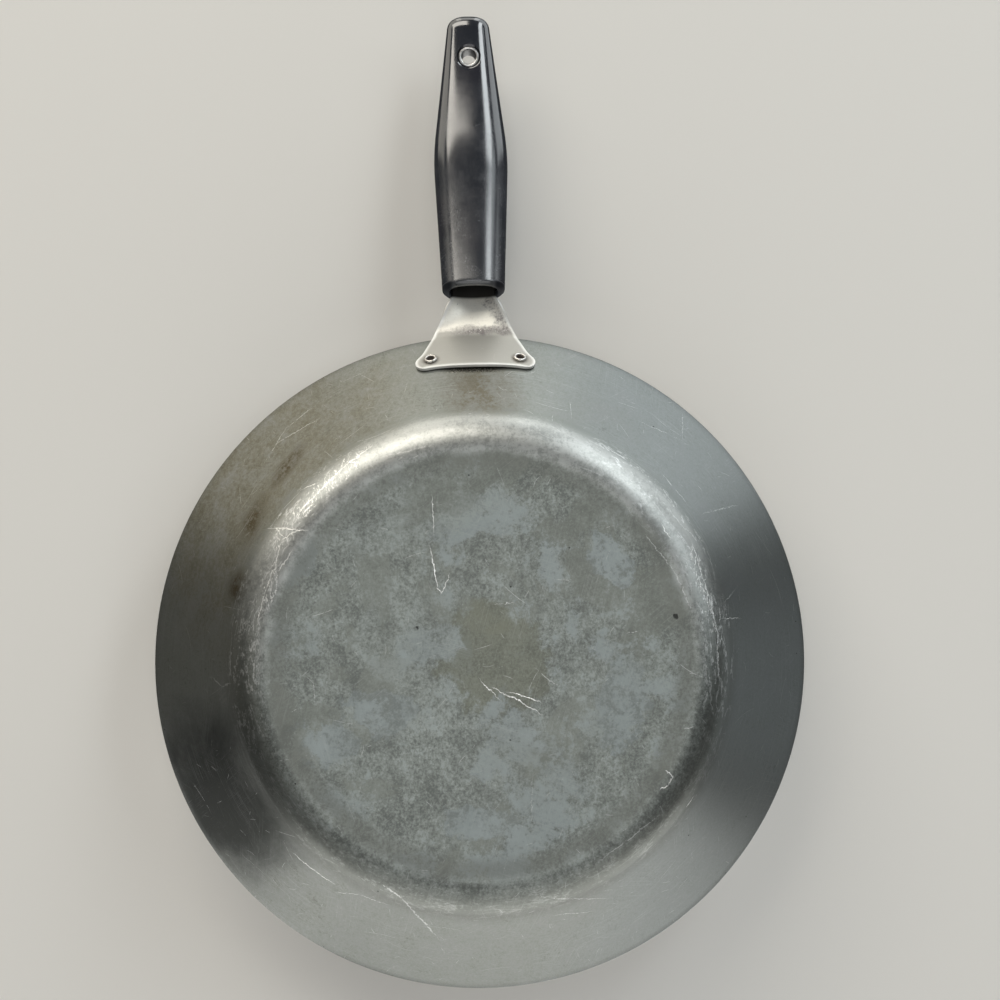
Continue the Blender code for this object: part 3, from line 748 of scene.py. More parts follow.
def pan_scratches(laid, bent, noises, zones, bloom):
    """All the scratches, scrapes and flecks together, and the deep scratches alone."""
    at, y, travel = laid.at, laid.y, laid.travel
    cloud, _, patch, fine, grain, _ = noises
    deep, light, broken = measured_scratches(at, bent, noises)
    marks, veil = scattered_scratches(at, noises, zones, light)
    circle = (at.math("COSINE", laid.bearing) * 3.2, at.math("SINE", laid.bearing) * 3.2)
    rolled = at.joined(*circle, travel * 110.0)
    scrape = contour(rolled, 0.028, 1.6, 4.0, 0.70)
    sides = smooth(abs(y) + (cloud - 0.5) * 0.12, 0.045, 0.080) * smooth(laid.x, -0.045, 0.010)
    band = between(travel, 0.0975, 0.1150, 0.003)
    scrape = scrape * band * (0.20 + 0.80 * sides) * smooth(patch + (fine - 0.5) * 0.4, 0.43, 0.55)
    turned = at.joined(circle[0] * 1.2, circle[1] * 1.2, travel * 2600.0)
    scuffed = smooth(noise(turned, 1.0, 2.0), 0.52, 0.74) * (1.0 - zones.base)
    scuffed = scuffed * smooth(cloud, 0.42, 0.60)
    fleck = smooth(grain, 0.62, 0.72) * smooth(fine, 0.46, 0.60) * (0.45 + 0.55 * bloom)
    scratch = strongest(marks * broken * 0.58, scrape * 0.95)
    scratch = strongest(scratch, veil * 0.11)
    scratch = strongest(scratch, strongest(deep, light * 0.55))
    scratch = strongest(scratch, strongest(fleck * 0.60, scuffed * 0.14))
    return scratch, deep


def pan_pits(at, bent, fine):
    """Specks at random, and the two large pits that the pan has."""
    pit = specks(at, 60.0, 0.014, 0.030, 0.955, True)
    for middle, radius in LARGE_PITS:
        away = bent.distance(middle) + (fine - 0.5) * 0.0016
        pit = strongest(pit, 1.0 - smooth(away, radius * 0.6, radius * 1.2))
    return pit


def pan_outside(nodes, pan):
    """Worn aluminium: oxide clouds, heat stain and scratches, laid out over the pan."""
    laid = pan_laid_out(nodes)
    at = laid.at
    noises = pan_noises(at)
    zones = pan_zones(laid, noises.patch)
    metal, bloom, dull = pan_oxide(pan, at, noises, zones)
    metal, stain, heat, scorch, drip = pan_stains(pan, laid, noises, zones, metal, bloom)
    bent = crooked(at, scorch)
    scratch, deep = pan_scratches(laid, bent, noises, zones, bloom)
    metal = tint(scratch, metal, pan.bare)
    metal = tint(deep * 0.85, metal, FRESH_CUT)
    pit = pan_pits(at, bent, noises.fine)
    metal = tint(pit * 0.85, metal, PIT_BLACK)
    worn_rim = smooth(laid.travel, 0.1752, 0.1764) * (0.55 + 0.45 * noises.patch)
    metal = tint(worn_rim * 0.6, metal, pan.bare)
    metal = tint((noises.grain - 0.35) * 0.22, metal, GRAIN_SHADE)

    roughness = 0.46 + (bloom * zones.base) * 0.12 - dull * zones.base * 0.04 - zones.wall * 0.07
    roughness = roughness + (noises.fine - 0.5) * 0.18 - zones.corner * 0.08
    roughness = roughness - scratch * 0.10 + heat * 0.05
    height = noises.fine * 0.5 + noises.grain * 0.3 - scratch * 0.9 - pit * 1.5 + bloom * 0.3
    return {
        "Base Color": metal,
        "Metallic": 1.0 - (bloom * zones.base) * 0.22 - stain * 0.10 - drip * 0.2,
        "Roughness": roughness,
        "Normal": bumped(height, 0.00005),
    }


# Colours of marks and stains on the other surfaces, and of the light and shade painted on them

COOKED_FILM = (0.25, 0.225, 0.175)
LATHE_RING = (0.30, 0.30, 0.29)
SCORCHED_BAND = (0.20, 0.17, 0.12)
LATHE_SHADE = (0.16, 0.16, 0.155)
# Polished neck, brightened and warmed as a painted highlight
POLISHED_NECK_AND_HIGHLIGHT = (0.96, 0.94, 0.86)
NECK_FLECK = (0.42, 0.40, 0.35)
# Grime along the bend, with painted shade in its crease
BEND_GRIME_AND_SHADE = (0.175, 0.155, 0.150)
CHIPPED_STEEL = (0.90, 0.89, 0.85)
BRUSH_SHADE = (0.36, 0.355, 0.33)
# Worn edge, brightened further as a painted highlight
WORN_EDGE_AND_HIGHLIGHT = (0.93, 0.93, 0.90)
RIVET_GRIME = (0.17, 0.155, 0.135)
STEEL_PIT = (0.03, 0.028, 0.026)
# Painted shade on the tang inside the grip
TANG_SHADE = (0.035, 0.033, 0.030)
RIVET_GREY = (0.38, 0.36, 0.33)
PIT_GLINT = (0.45, 0.42, 0.38)
RIVET_SHADE = (0.25, 0.24, 0.22)
WARM_BLACK = (0.016, 0.013, 0.020)
GRIP_SCRATCH = (0.26, 0.26, 0.27)
DUST = (0.40, 0.40, 0.38)
EYELET_GREY = (0.33, 0.32, 0.30)
EYELET_SCRATCH = (0.92, 0.92, 0.90)
EYELET_SHADE = (0.22, 0.21, 0.20)
# Painted shade in the eyelet's bore
BORE_SHADE = (0.055, 0.055, 0.050)


def lathe_lines(nodes, travel, scale, detail):
    """Circles of uneven strength, as a lathe leaves them."""
    sockets = {"W": travel * scale, "Detail": detail}
    return nodes.node("ShaderNodeTexNoise", {"noise_dimensions": "1D"}, sockets)


def pan_inside(nodes, pan):
    """Turned cooking face: fine circles, utensil scratches and a tan cooked-on film."""
    at = attribute(nodes, "laid_out")
    travel = at.length()
    lathe = lathe_lines(nodes, travel, 2600.0, 3.0)
    ring = lathe_lines(nodes, travel, 170.0, 4.0)
    cloud = noise(at, 20.0, 6.0, 0.6, 0.4)
    patch = noise(mapped(at, (3.1, 1.4, 0.0)), 60.0, 5.0, 0.65)
    fine = noise(mapped(at, (0.9, 6.3, 0.0)), 500.0, 3.0, 0.7)
    used = 1.0 - smooth(travel + (cloud - 0.5) * 0.05, 0.070, 0.115)
    film = smooth(cloud + (patch - 0.5) * 0.5, 0.46, 0.64) * (0.35 + 0.65 * used)
    metal = tint(film * 0.65, pan.cooking, COOKED_FILM)
    metal = tint(smooth(ring, 0.45, 0.75) * 0.25, metal, LATHE_RING)
    broken = smooth(patch, 0.44, 0.60)
    band = between(travel + (patch - 0.5) * 0.01, 0.100, 0.128, 0.008)
    metal = tint(band * 0.35, metal, SCORCHED_BAND)

    marks = strokes(at, 21, 0.026, 0.0120, 0.00022, 0.60)
    marks = strongest(marks, strokes(at, 22, 0.040, 0.0180, 0.00026, 0.55))
    marks = strongest(marks, strokes(at, 23, 0.013, 0.0058, 0.00018, 0.65))
    marks = strongest(marks, strokes(at, 24, 0.034, 0.0160, 0.00022, 0.60, True))
    veil = strongest(hairlines(at, 0.7, 31.0), hairlines(at, 2.4, 37.0)) * broken
    scratch = strongest(marks * 0.55, veil * 0.20)
    metal = tint(scratch, metal, pan.bare)
    metal = tint((lathe - 0.35) * 0.30, metal, LATHE_SHADE)
    height = lathe * 0.6 + fine * 0.3 - scratch * 0.9
    return {
        "Base Color": metal,
        "Metallic": 1.0 - film * 0.15,
        "Roughness": 0.36 + film * 0.12 + (fine - 0.5) * 0.14 + (lathe - 0.5) * 0.16 - scratch * 0.06,
        "Normal": bumped(height, 0.00006),
    }


# Where the bracket's finish changes, as places along X
NECK_START = (0.1535, 0.1560)
BEND_REACH = (0.1532, 0.1568)
DULL_TO_MOUTH = (0.1590, 0.1680)
MOUTH_X = 0.1713
TANG_SHADE_START = (0.1706, 0.1722)


def bracket_finish(nodes, bracket, seats):
    """Satin sheet: bright neck with a painted highlight, scuffed and painted darker as shade beside the
    bend and on the right, grey flange, worn edges with a painted highlight.
    """
    at = place(nodes)
    x, y = at.parts()
    brush = noise(at.vector("MULTIPLY", at, (1700.0, 60.0, 1700.0)), 1.0, 3.0, 0.6)
    cloud = noise(at, 150.0, 5.0, 0.65)
    fine = noise(mapped(at, (1.0, 3.0, 2.0)), 900.0, 4.0, 0.75)
    flecks = noise(mapped(at, (5.0, 1.0, 4.0)), 1600.0, 2.0, 0.6)
    edge = attribute(nodes, "edge")
    rim = 1.0 - smooth(edge + (cloud - 0.5) * 0.0003, 0.00015, 0.00070)

    # The neck is polished on the left, with a painted highlight there, and scuffed on the right and along
    # the bend, with painted shade on the right and in the bend's crease.
    drift = (cloud - 0.5) * 0.006
    neck = smooth(x + drift, *NECK_START)
    bend = between(x + drift, *BEND_REACH, 0.0012)
    right = smooth(y + (x - MOUTH_X) * 0.45 + (cloud - 0.5) * 0.016, 0.0020, 0.0060)
    side = smooth(y, -0.016, 0.002)
    near_mouth = smooth(x, *DULL_TO_MOUTH)
    worn = strongest(right * neck * 0.90, bend * (0.25 + 0.75 * side))
    mottle = smooth(fine + (cloud - 0.5) * 0.7, 0.38, 0.62)
    metal = tint(neck, bracket.steel, POLISHED_NECK_AND_HIGHLIGHT)
    metal = tint(smooth(fine, 0.50, 0.70) * (1.0 - worn) * 0.22, metal, NECK_FLECK)
    metal = tint(worn * (0.45 + 0.55 * mottle), metal, bracket.scuff_and_shade)
    metal = tint(bend * side * (0.30 + 0.30 * mottle), metal, BEND_GRIME_AND_SHADE)
    chips = smooth(flecks + (cloud - 0.5) * 0.15, 0.63, 0.72) * (worn * 0.9 + 0.08)
    marks = strokes(at, 41, 0.0060, 0.0026, 0.00009, 0.50)
    marks = strongest(marks, strokes(at, 42, 0.0105, 0.0048, 0.00009, 0.45))
    scratch = strongest(marks * 0.35, chips)
    metal = tint(scratch, metal, CHIPPED_STEEL)
    metal = tint((brush - 0.35) * 0.30, metal, BRUSH_SHADE)
    # The sheet's edges are worn bright and carry a painted highlight.
    metal = tint(rim * 0.75, metal, WORN_EDGE_AND_HIGHLIGHT)

    # Grime in a ring round each rivet, and a few pits.
    grime = None
    for seat in seats:
        away = at.distance(tuple(seat))
        grime = away if grime is None else at.math("MINIMUM", grime, away)
    grime = 1.0 - smooth(grime + (fine - 0.5) * 0.0016, 0.0036, 0.0052)
    metal = tint(grime * 0.60, metal, RIVET_GRIME)
    pit = specks(at, 190.0, 0.03, 0.07, 0.90)
    metal = tint(pit * 0.8, metal, STEEL_PIT)

    # Inside the grip the tang is painted dark as shade.
    tarnish = smooth(x, *TANG_SHADE_START)
    metal = tint(tarnish, metal, TANG_SHADE)
    roughness = 0.42 + (brush - 0.5) * 0.16 + worn * 0.08 + (cloud - 0.5) * 0.10 + neck * 0.02
    height = brush * 0.25 + fine * 0.5 * worn - scratch * 0.6 - pit
    return {
        "Base Color": metal,
        "Metallic": 0.40 + neck * 0.28 - near_mouth * 0.40 - grime * 0.2,
        "Roughness": roughness + grime * 0.12,
        "Normal": bumped(height, 0.00004),
    }


def rivet_finish(nodes, rivets):
    """Bright rolled ring, dark bronze pit with grime in it, and a grey inner dome."""
    at = attribute(nodes, "laid_out")
    travel = at.length()
    spot = place(nodes)
    cloud = noise(spot, 900.0, 4.0, 0.65)
    fine = noise(mapped(spot, (2.0, 0.0, 1.0)), 4200.0, 3.0, 0.6)
    pit_end = rivets.pit_radius + rivets.pit_depth
    pit = 1.0 - smooth(travel + (cloud - 0.5) * 0.0006, pit_end - 0.0005, pit_end + 0.0001)
    metal = tint(smooth(cloud, 0.42, 0.66) * 0.5, rivets.bright, RIVET_GREY)
    metal = tint(pit * 0.86, metal, rivets.bronze)
    glints = smooth(fine, 0.66, 0.74) * pit
    metal = tint(glints * 0.6, metal, PIT_GLINT)
    metal = tint((fine - 0.4) * 0.25, metal, RIVET_SHADE)
    return {
        "Base Color": metal,
        "Metallic": 1.0 - pit * 0.5,
        "Roughness": 0.26 + pit * 0.35 + (cloud - 0.5) * 0.20,
        "Normal": bumped(cloud * 0.5 + fine * 0.5, 0.00006),
    }


def grip_finish(nodes, grip, mouth):
    """Black moulding, polished by hands, with a mottled haze, hair scratches and dust."""
    at = place(nodes)
    x, y = at.parts()
    # The scratches are laid on from below, and squeezed in Y because the sides turn away.
    flat = at.joined(x, y * 1.25)
    cloud = noise(at, 62.0, 6.0, 0.66, 0.3)
    broad = noise(mapped(at, (4.0, 7.0, 1.0)), 24.0, 3.0, 0.5)
    fine = noise(mapped(at, (1.0, 2.0, 3.0)), 1500.0, 4.0, 0.7)
    peel = noise(mapped(at, (3.0, 1.0, 2.0)), 320.0, 2.0, 0.5)
    haze = smooth(cloud + (fine - 0.5) * 0.45, 0.40, 0.70)
    base = tint(haze * 0.45, grip.phenolic, grip.haze)
    base = tint(smooth(broad, 0.45, 0.62) * 0.5, base, WARM_BLACK)
    marks = strokes(flat, 51, 0.0105, 0.0030, 0.00010, 0.42)
    marks = strongest(marks, strokes(flat, 52, 0.0190, 0.0062, 0.00011, 0.40))
    hair = hairlines(flat, 0.15, 41.0, 0.016, 0.00035) * smooth(cloud, 0.50, 0.62)
    scratch = strongest(marks * 0.55, hair * 0.16)
    base = tint(scratch * 0.45, base, GRIP_SCRATCH)
    dust = specks(at, 260.0, 0.03, 0.06, 0.955)
    base = tint(dust * 0.4, base, DUST)
    inward = tuple(direction(grip.rise))
    depth = at.vector("SUBTRACT", at, tuple(mouth))
    depth = at.vector("DOT_PRODUCT", depth, inward, output="Value")
    lip = (1.0 - smooth(depth, 0.0018, 0.0028)) * smooth(abs(y), 0.0080, 0.0115)
    rubbed = (1.0 - smooth(x, 0.2000, 0.2520)) * (1.0 - lip)
    glossy = smooth(x, 0.2550, 0.2850)
    dulled = haze * 0.06 + (fine - 0.5) * 0.12
    roughness = 0.16 + dulled * (1.0 - glossy * 0.7) - glossy * 0.055
    return {
        "Base Color": base,
        "Metallic": lip * 0.85,
        "Roughness": roughness + scratch * 0.12 + lip * 0.7 + rubbed * 0.05,
        "IOR": 2.15,
        "Normal": bumped(peel * 0.30 + fine * 0.07 - scratch * 0.25, 0.00003),
    }


def eyelet_finish(nodes, eyelet, seat):
    """Plated eyelet, painted dark in its bore as shade, and hair scratched round its flange."""
    at = attribute(nodes, "laid_out")
    spot = place(nodes)
    axis = tuple(seat.to_3x3().col[2])
    away = spot.vector("SUBTRACT", spot, tuple(seat.translation))
    height = spot.vector("DOT_PRODUCT", away, axis, output="Value")
    radius = away.distance(height.times(axis))
    cloud = noise(spot, 700.0, 4.0, 0.6)
    fine = noise(mapped(spot, (2.0, 5.0, 1.0)), 3800.0, 3.0, 0.6)
    bore = 1.0 - smooth(radius + (cloud - 0.5) * 0.0003, eyelet.bore_radius, eyelet.bore_radius + 0.0004)
    marks = strokes(at, 61, 0.0022, 0.0010, 0.00006, 0.7)
    metal = tint(smooth(cloud, 0.46, 0.66) * 0.6, eyelet.chrome, EYELET_GREY)
    metal = tint(marks * 0.5, metal, EYELET_SCRATCH)
    metal = tint((fine - 0.4) * 0.25, metal, EYELET_SHADE)
    # Painted shade in the bore.
    metal = tint(bore * 0.9, metal, BORE_SHADE)
    return {
        "Base Color": metal,
        "Metallic": 1.0,
        "Roughness": 0.30 + (cloud - 0.5) * 0.16 + bore * 0.25,
        "Normal": bumped(cloud * 0.6 + fine * 0.2, 0.000012),
    }


# Shared shape rules


def direction(slope):
    """The way along a line that rises at a slope, in the X-Z plane."""
    return Vector((math.cos(slope), 0.0, math.sin(slope)))


def upward_normal(slope):
    return Vector((-math.sin(slope), 0.0, math.cos(slope)))


def mix(first, second, share_of_second):
    return first + (second - first) * share_of_second


def between_points(first, second, share_of_second):
    return tuple(mix(a, b, share_of_second) for a, b in zip(first, second))


def smooth_step(start, end, value):
    """0 before start, 1 after end, and a smooth rise between them."""
    part = min(max((value - start) / (end - start), 0.0), 1.0)
    return part * part * (3.0 - 2.0 * part)


def arc(centre, radius, start, end, steps):
    """Points of an arc in the X-Z plane, from one angle to another."""
    points = []
    for step in range(steps + 1):
        turn = mix(start, end, step / steps)
        points.append((centre[0] + radius * math.cos(turn), centre[1] + radius * math.sin(turn)))
    return points


def fill_in(points, longest):
    """The same line with more points, so that no step is longer than asked."""
    filled = [points[0]]
    for first, second in zip(points, points[1:]):
        steps = max(1, math.ceil(math.dist(first, second) / longest))
        for step in range(1, steps + 1):
            filled.append(between_points(first, second, step / steps))
    return filled


def rim_corner(pan):
    """Radius at which the wall's straight outer line meets the rim's level."""
    return pan.rim_radius + pan.rim_round * (1.0 / math.tan(pan.wall_slope / 2.0) - 1.0)


def wall_point(pan, down, offset=0.0):
    """A point down the wall's outer face from the rim, in the X-Z plane."""
    outward = Vector((math.sin(pan.wall_slope), 0.0, -math.cos(pan.wall_slope)))
    rim = Vector((rim_corner(pan), 0.0, pan.height))
    return rim - direction(pan.wall_slope) * down + outward * offset


def rivet_seat(part):
    """Where the rivets' circle meets the wall, and the turn of one rivet from the handle."""
    down = part.bracket.flange_length + part.bracket.bend_below_rim - part.rivets.inset
    seat = wall_point(part.pan, down)
    return seat, math.asin(part.rivets.spacing / 2.0 / seat.x)


def bend_vertex(part):
    """Where the flange's straight line meets the neck's, in the X-Z plane."""
    bracket = part.bracket
    return wall_point(part.pan, bracket.bend_below_rim, bracket.clearance + bracket.sheet / 2.0)


def mouth_sheet_height(part):
    """Height of the sheet's middle over the grip's centre line at the mouth."""
    grip, bracket = part.grip, part.bracket
    return grip.mouth_depth / 2.0 - grip.wall - bracket.clearance - bracket.sheet / 2.0


def grip_slope(grip, distance):
    return mix(grip.rise, grip.end_slope, distance / grip.length)


def grip_centre(part, distance):
    """A point of the grip's centre line, which is an arc that starts at the mouth."""
    grip = part.grip
    along = direction(grip.rise)
    start = bend_vertex(part) + direction(part.bracket.neck_rise) * part.bracket.neck_length
    start -= upward_normal(grip.rise) * mouth_sheet_height(part)
    curvature = (grip.end_slope - grip.rise) / grip.length
    slope = grip_slope(grip, distance)
    if abs(slope - grip.rise) < 1e-6:
        return start + along * distance
    ahead = (math.sin(slope) - math.sin(grip.rise)) / curvature
    climb = (math.cos(grip.rise) - math.cos(slope)) / curvature
    return start + Vector((ahead, 0.0, climb))


def grip_point(part, distance, across, up):
    normal = upward_normal(grip_slope(part.grip, distance))
    return grip_centre(part, distance) + Vector((0.0, across, 0.0)) + normal * up


def eyelet_frame(part):
    """A frame at the eyelet, with its own Z along the grip's upward normal."""
    distance = part.grip.length - part.eyelet.from_tip
    lean = Matrix.Rotation(-grip_slope(part.grip, distance), 4, "Y")
    return Matrix.Translation(grip_centre(part, distance)) @ lean


def taper(grip, distance, at_mouth, at_knee, at_tip):
    """Two straight tapers that meet at the knee, with a round blend between them."""
    first = (at_knee - at_mouth) / grip.knee
    second = (at_tip - at_knee) / (grip.length - grip.knee)
    past = distance - grip.knee
    if past <= -grip.knee_blend:
        return at_knee + first * past
    if past >= grip.knee_blend:
        return at_knee + second * past
    bend = (second - first) * (past + grip.knee_blend) ** 2 / (4.0 * grip.knee_blend)
    return at_knee + first * past + bend


def grip_half_depth(grip, distance):
    return taper(grip, distance, grip.mouth_depth, grip.knee_depth, grip.tip_depth) / 2.0


# Geometry Nodes


def new_tree(name, sockets):
    """A geometry tree with named inputs and one geometry output."""
    tree = bpy.data.node_groups.new(name, "GeometryNodeTree")
    for label, kind in sockets:
        tree.interface.new_socket(label, in_out="INPUT", socket_type="NodeSocket" + kind)
    tree.interface.new_socket("Geometry", in_out="OUTPUT", socket_type="NodeSocketGeometry")
    source = tree.nodes.new("NodeGroupInput")
    inputs = {label: Field(tree, source.outputs[label]) for label, kind in sockets}
    return tree, inputs


def close_tree(tree, geometry):
    sink = tree.nodes.new("NodeGroupOutput")
    tree.links.new(geometry.socket, sink.inputs["Geometry"])


def on_circle(radius, turn, height=0.0):
    """The point at a radius, turned about the Z axis."""
    x = radius * turn.math("COSINE", turn)
    return turn.joined(x, radius * turn.math("SINE", turn), height)


def named_number(nodes, name):
    """A number that a mesh keeps at each point."""
    return nodes.node("GeometryNodeInputNamedAttribute", {"data_type": "FLOAT"}, {"Name": name})


def uneven(geometry, scale, depth):
    """Shift a surface in and out by a noise, and shade it smooth."""
    where = geometry.node("GeometryNodeInputPosition")
    swell = noise(where, scale, 2.0, 0.5) * depth * -1.0
    inward = swell.times(geometry.node("GeometryNodeInputNormal"))
    moved = {"Geometry": geometry, "Offset": inward}
    moved = geometry.node("GeometryNodeSetPosition", None, moved)
    return geometry.node("GeometryNodeSetShadeSmooth", None, {0: moved})


def turned_tree():
    """Turn a profile about the Z axis, and lay its surface out flat in an attribute."""
    sockets = [("Profile", "Geometry"), ("Columns", "Int")]
    tree, inputs = new_tree("turned_body", sockets)
    nodes = Field(tree)
    profile, columns = inputs["Profile"], inputs["Columns"]
    rows = nodes.node("GeometryNodeAttributeDomainSize", {"component": "MESH"}, {0: profile})
    across = {"Size X": 1.0, "Size Y": 1.0, "Vertices X": columns + 1.0, "Vertices Y": rows}
    grid = nodes.node("GeometryNodeMeshGrid", None, across)
    index = nodes.node("GeometryNodeInputIndex")
    column = nodes.math("FLOOR", (index + 0.5) / rows)
    row = index - column * rows
    turn = column / columns * (-2.0 * math.pi)

    def sampled(kind, value):
        picked = {"Geometry": profile, "Value": value, "Index": row}
        return nodes.node("GeometryNodeSampleIndex", {"data_type": kind, "domain": "POINT"}, picked)

    here = sampled("FLOAT_VECTOR", nodes.node("GeometryNodeInputPosition"))
    spun = {"Vector": here, "Angle": turn}
    here = nodes.node("ShaderNodeVectorRotate", {"rotation_type": "Z_AXIS"}, spun)
    body = nodes.node("GeometryNodeSetPosition", None, {"Geometry": grid, "Position": here})
    travel = sampled("FLOAT", named_number(nodes, "travel"))
    inner = sampled("FLOAT", named_number(nodes, "inner"))
    flat = on_circle(travel, turn)
    for name, kind, value in (("laid_out", "FLOAT_VECTOR", flat), ("inner", "FLOAT", inner)):
        stored = {"Geometry": body, "Name": name, "Value": value}
        settings = {"data_type": kind, "domain": "POINT"}
        body = nodes.node("GeometryNodeStoreNamedAttribute", settings, stored)
    joined = {"Geometry": body, "Distance": 1e-7}
    close_tree(tree, nodes.node("GeometryNodeMergeByDistance", None, joined))
    return tree


def pan_tree(turned):
    """A turned pan with the slight dents of its pressing, and a material for each face."""
    sockets = [("Profile", "Geometry"), ("Columns", "Int"), ("Dents", "Float")]
    sockets += [("Outside", "Material"), ("Inside", "Material")]
    tree, inputs = new_tree("pressed_pan", sockets)
    nodes = Field(tree)
    given = {"Profile": inputs["Profile"], "Columns": inputs["Columns"]}
    body = nodes.node("GeometryNodeGroup", {"node_tree": turned}, given)
    body = uneven(body, 16.0, inputs["Dents"])
    inner = nodes.math("GREATER_THAN", named_number(nodes, "inner"), 0.5)
    body = nodes.node("GeometryNodeRealizeInstances", None, {0: body})
    worn = {"Geometry": body, "Material": inputs["Outside"]}
    body = nodes.node("GeometryNodeSetMaterial", None, worn)
    worn = {"Geometry": body, "Material": inputs["Inside"], "Selection": inner}
    close_tree(tree, nodes.node("GeometryNodeSetMaterial", None, worn))
    return tree


def seated_tree(turned):
    """Turned pieces on both sides of the handle, each on its seat and at its own twist."""
    sockets = [("Profile", "Geometry"), ("Columns", "Int"), ("Count", "Int"), ("Turn", "Float")]
    sockets += [("Radius", "Float"), ("Height", "Float"), ("Lean", "Float")]
    sockets += [("Unevenness", "Float"), ("Seed", "Int"), ("Material", "Material")]
    tree, inputs = new_tree("seated_pieces", sockets)
    nodes = Field(tree)
    given = {"Profile": inputs["Profile"], "Columns": inputs["Columns"]}
    body = nodes.node("GeometryNodeGroup", {"node_tree": turned}, given)
    index = nodes.node("GeometryNodeInputIndex")
    turn = (index * 2.0 - inputs["Count"] + 1.0) * inputs["Turn"]
    seat = on_circle(inputs["Radius"], turn, inputs["Height"])
    points = nodes.node("GeometryNodePoints", None, {"Count": inputs["Count"], "Position": seat})
    facing = nodes.joined(0.0, inputs["Lean"], turn)
    placed = {"Points": points, "Instance": body, "Rotation": facing}
    placed = nodes.node("GeometryNodeInstanceOnPoints", None, placed)
    twist = nodes.node("FunctionNodeRandomValue", {"data_type": "FLOAT"}, {"Seed": inputs["Seed"]}, 1)
    twist = nodes.joined(0.0, 0.0, twist * 6.0)
    spun = {"Instances": placed, "Rotation": twist, "Local Space": True}
    placed = nodes.node("GeometryNodeRotateInstances", None, spun)
    placed = nodes.node("GeometryNodeRealizeInstances", None, {0: placed})
    placed = uneven(placed, 420.0, inputs["Unevenness"])
    worn = {"Geometry": placed, "Material": inputs["Material"]}
    close_tree(tree, nodes.node("GeometryNodeSetMaterial", None, worn))
    return tree


def profile_mesh(name, rows):
    """A line of points, each with its travel over the surface and its side of the wall."""
    mesh = bpy.data.meshes.new(name)
    points = [(x, 0.0, z) for x, z, *_ in rows]
    mesh.from_pydata(points, [(at, at + 1) for at in range(len(points) - 1)], [])
    for column, label in ((2, "travel"), (3, "inner")):
        layer = mesh.attributes.new(label, "FLOAT", "POINT")
        layer.data.foreach_set("value", [row[column] for row in rows])
    return mesh


def with_travel(points, inner=0.0):
    """Rows of a profile: each point with its distance along the line, and its side of the wall."""
    rows = []
    travel = 0.0
    for at, point in enumerate(points):
        if at:
            travel += math.dist(points[at - 1], point)
        rows.append((*point, travel, inner))
    return rows


def grown(name, mesh, tree, values):
    """The plain mesh that a geometry tree makes from a mesh and its named inputs."""
    piece = new_object(name, mesh)
    modifier = piece.modifiers.new("growth", "NODES")
    modifier.node_group = tree
    for item in tree.interface.items_tree:
        if item.in_out == "INPUT" and item.name in values:
            modifier[item.identifier] = values[item.name]
    return made_plain(piece)


def new_object(name, mesh):
    piece = bpy.data.objects.new(name, mesh)
    bpy.context.scene.collection.objects.link(piece)
    return piece


def made_plain(piece):
    """Keep what an object's modifiers make of it as its mesh, and take them off."""
    bpy.context.view_layer.update()
    shown = piece.evaluated_get(bpy.context.evaluated_depsgraph_get())
    mesh = bpy.data.meshes.new_from_object(shown)
    piece.modifiers.clear()
    piece.data = mesh
    mesh.name = piece.name
    return piece


def mesh_object(name, bm, material):
    """An object from a bmesh, with one material."""
    mesh = bpy.data.meshes.new(name)
    bm.to_mesh(mesh)
    bm.free()
    mesh.materials.append(material)
    return new_object(name, mesh)


def shade(piece, sharp_angle):
    """Shade a piece smooth, but for edges sharper than an angle in degrees."""
    piece.data.shade_smooth()
    piece.data.set_sharp_from_angle(angle=math.radians(sharp_angle))


def cut(piece, cutters):
    """Take the shapes of the cutters away from a piece, and remove them."""
    for cutter in cutters:
        boolean = piece.modifiers.new("cut", "BOOLEAN")
        boolean.operation = "DIFFERENCE"
        boolean.solver = "EXACT"
        boolean.object = cutter
    made_plain(piece)
    for cutter in cutters:
        bpy.data.objects.remove(cutter, do_unlink=True)


def turned_cutter(name, profile, matrix, material, sides=96):
    """A closed cutter from pairs of radius and height, bottom to top, set by a matrix."""
    bm = bmesh.new()
    loops = []
    for radius, height in profile:
        loop = []
        for side in range(sides):
            turn = 2.0 * math.pi * side / sides
            point = Vector((radius * math.cos(turn), radius * math.sin(turn), height))
            loop.append(bm.verts.new(matrix @ point))
        loops.append(loop)
    join_loops(bm, loops)
    return mesh_object(name, bm, material)


def join_loops(bm, loops):
    """Faces between neighbouring loops, and a cap on the first and the last."""
    sides = len(loops[0])
    for first, second in zip(loops, loops[1:]):
        for here in range(sides):
            there = (here + 1) % sides
            bm.faces.new((first[here], first[there], second[there], second[here]))
    bm.faces.new(list(reversed(loops[0])))
    bm.faces.new(loops[-1])
    bmesh.ops.recalc_face_normals(bm, faces=bm.faces)


def hand_in(piece, nodes):
    """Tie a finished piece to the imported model."""
    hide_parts(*nodes)
    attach(piece, "root")


# Pieces


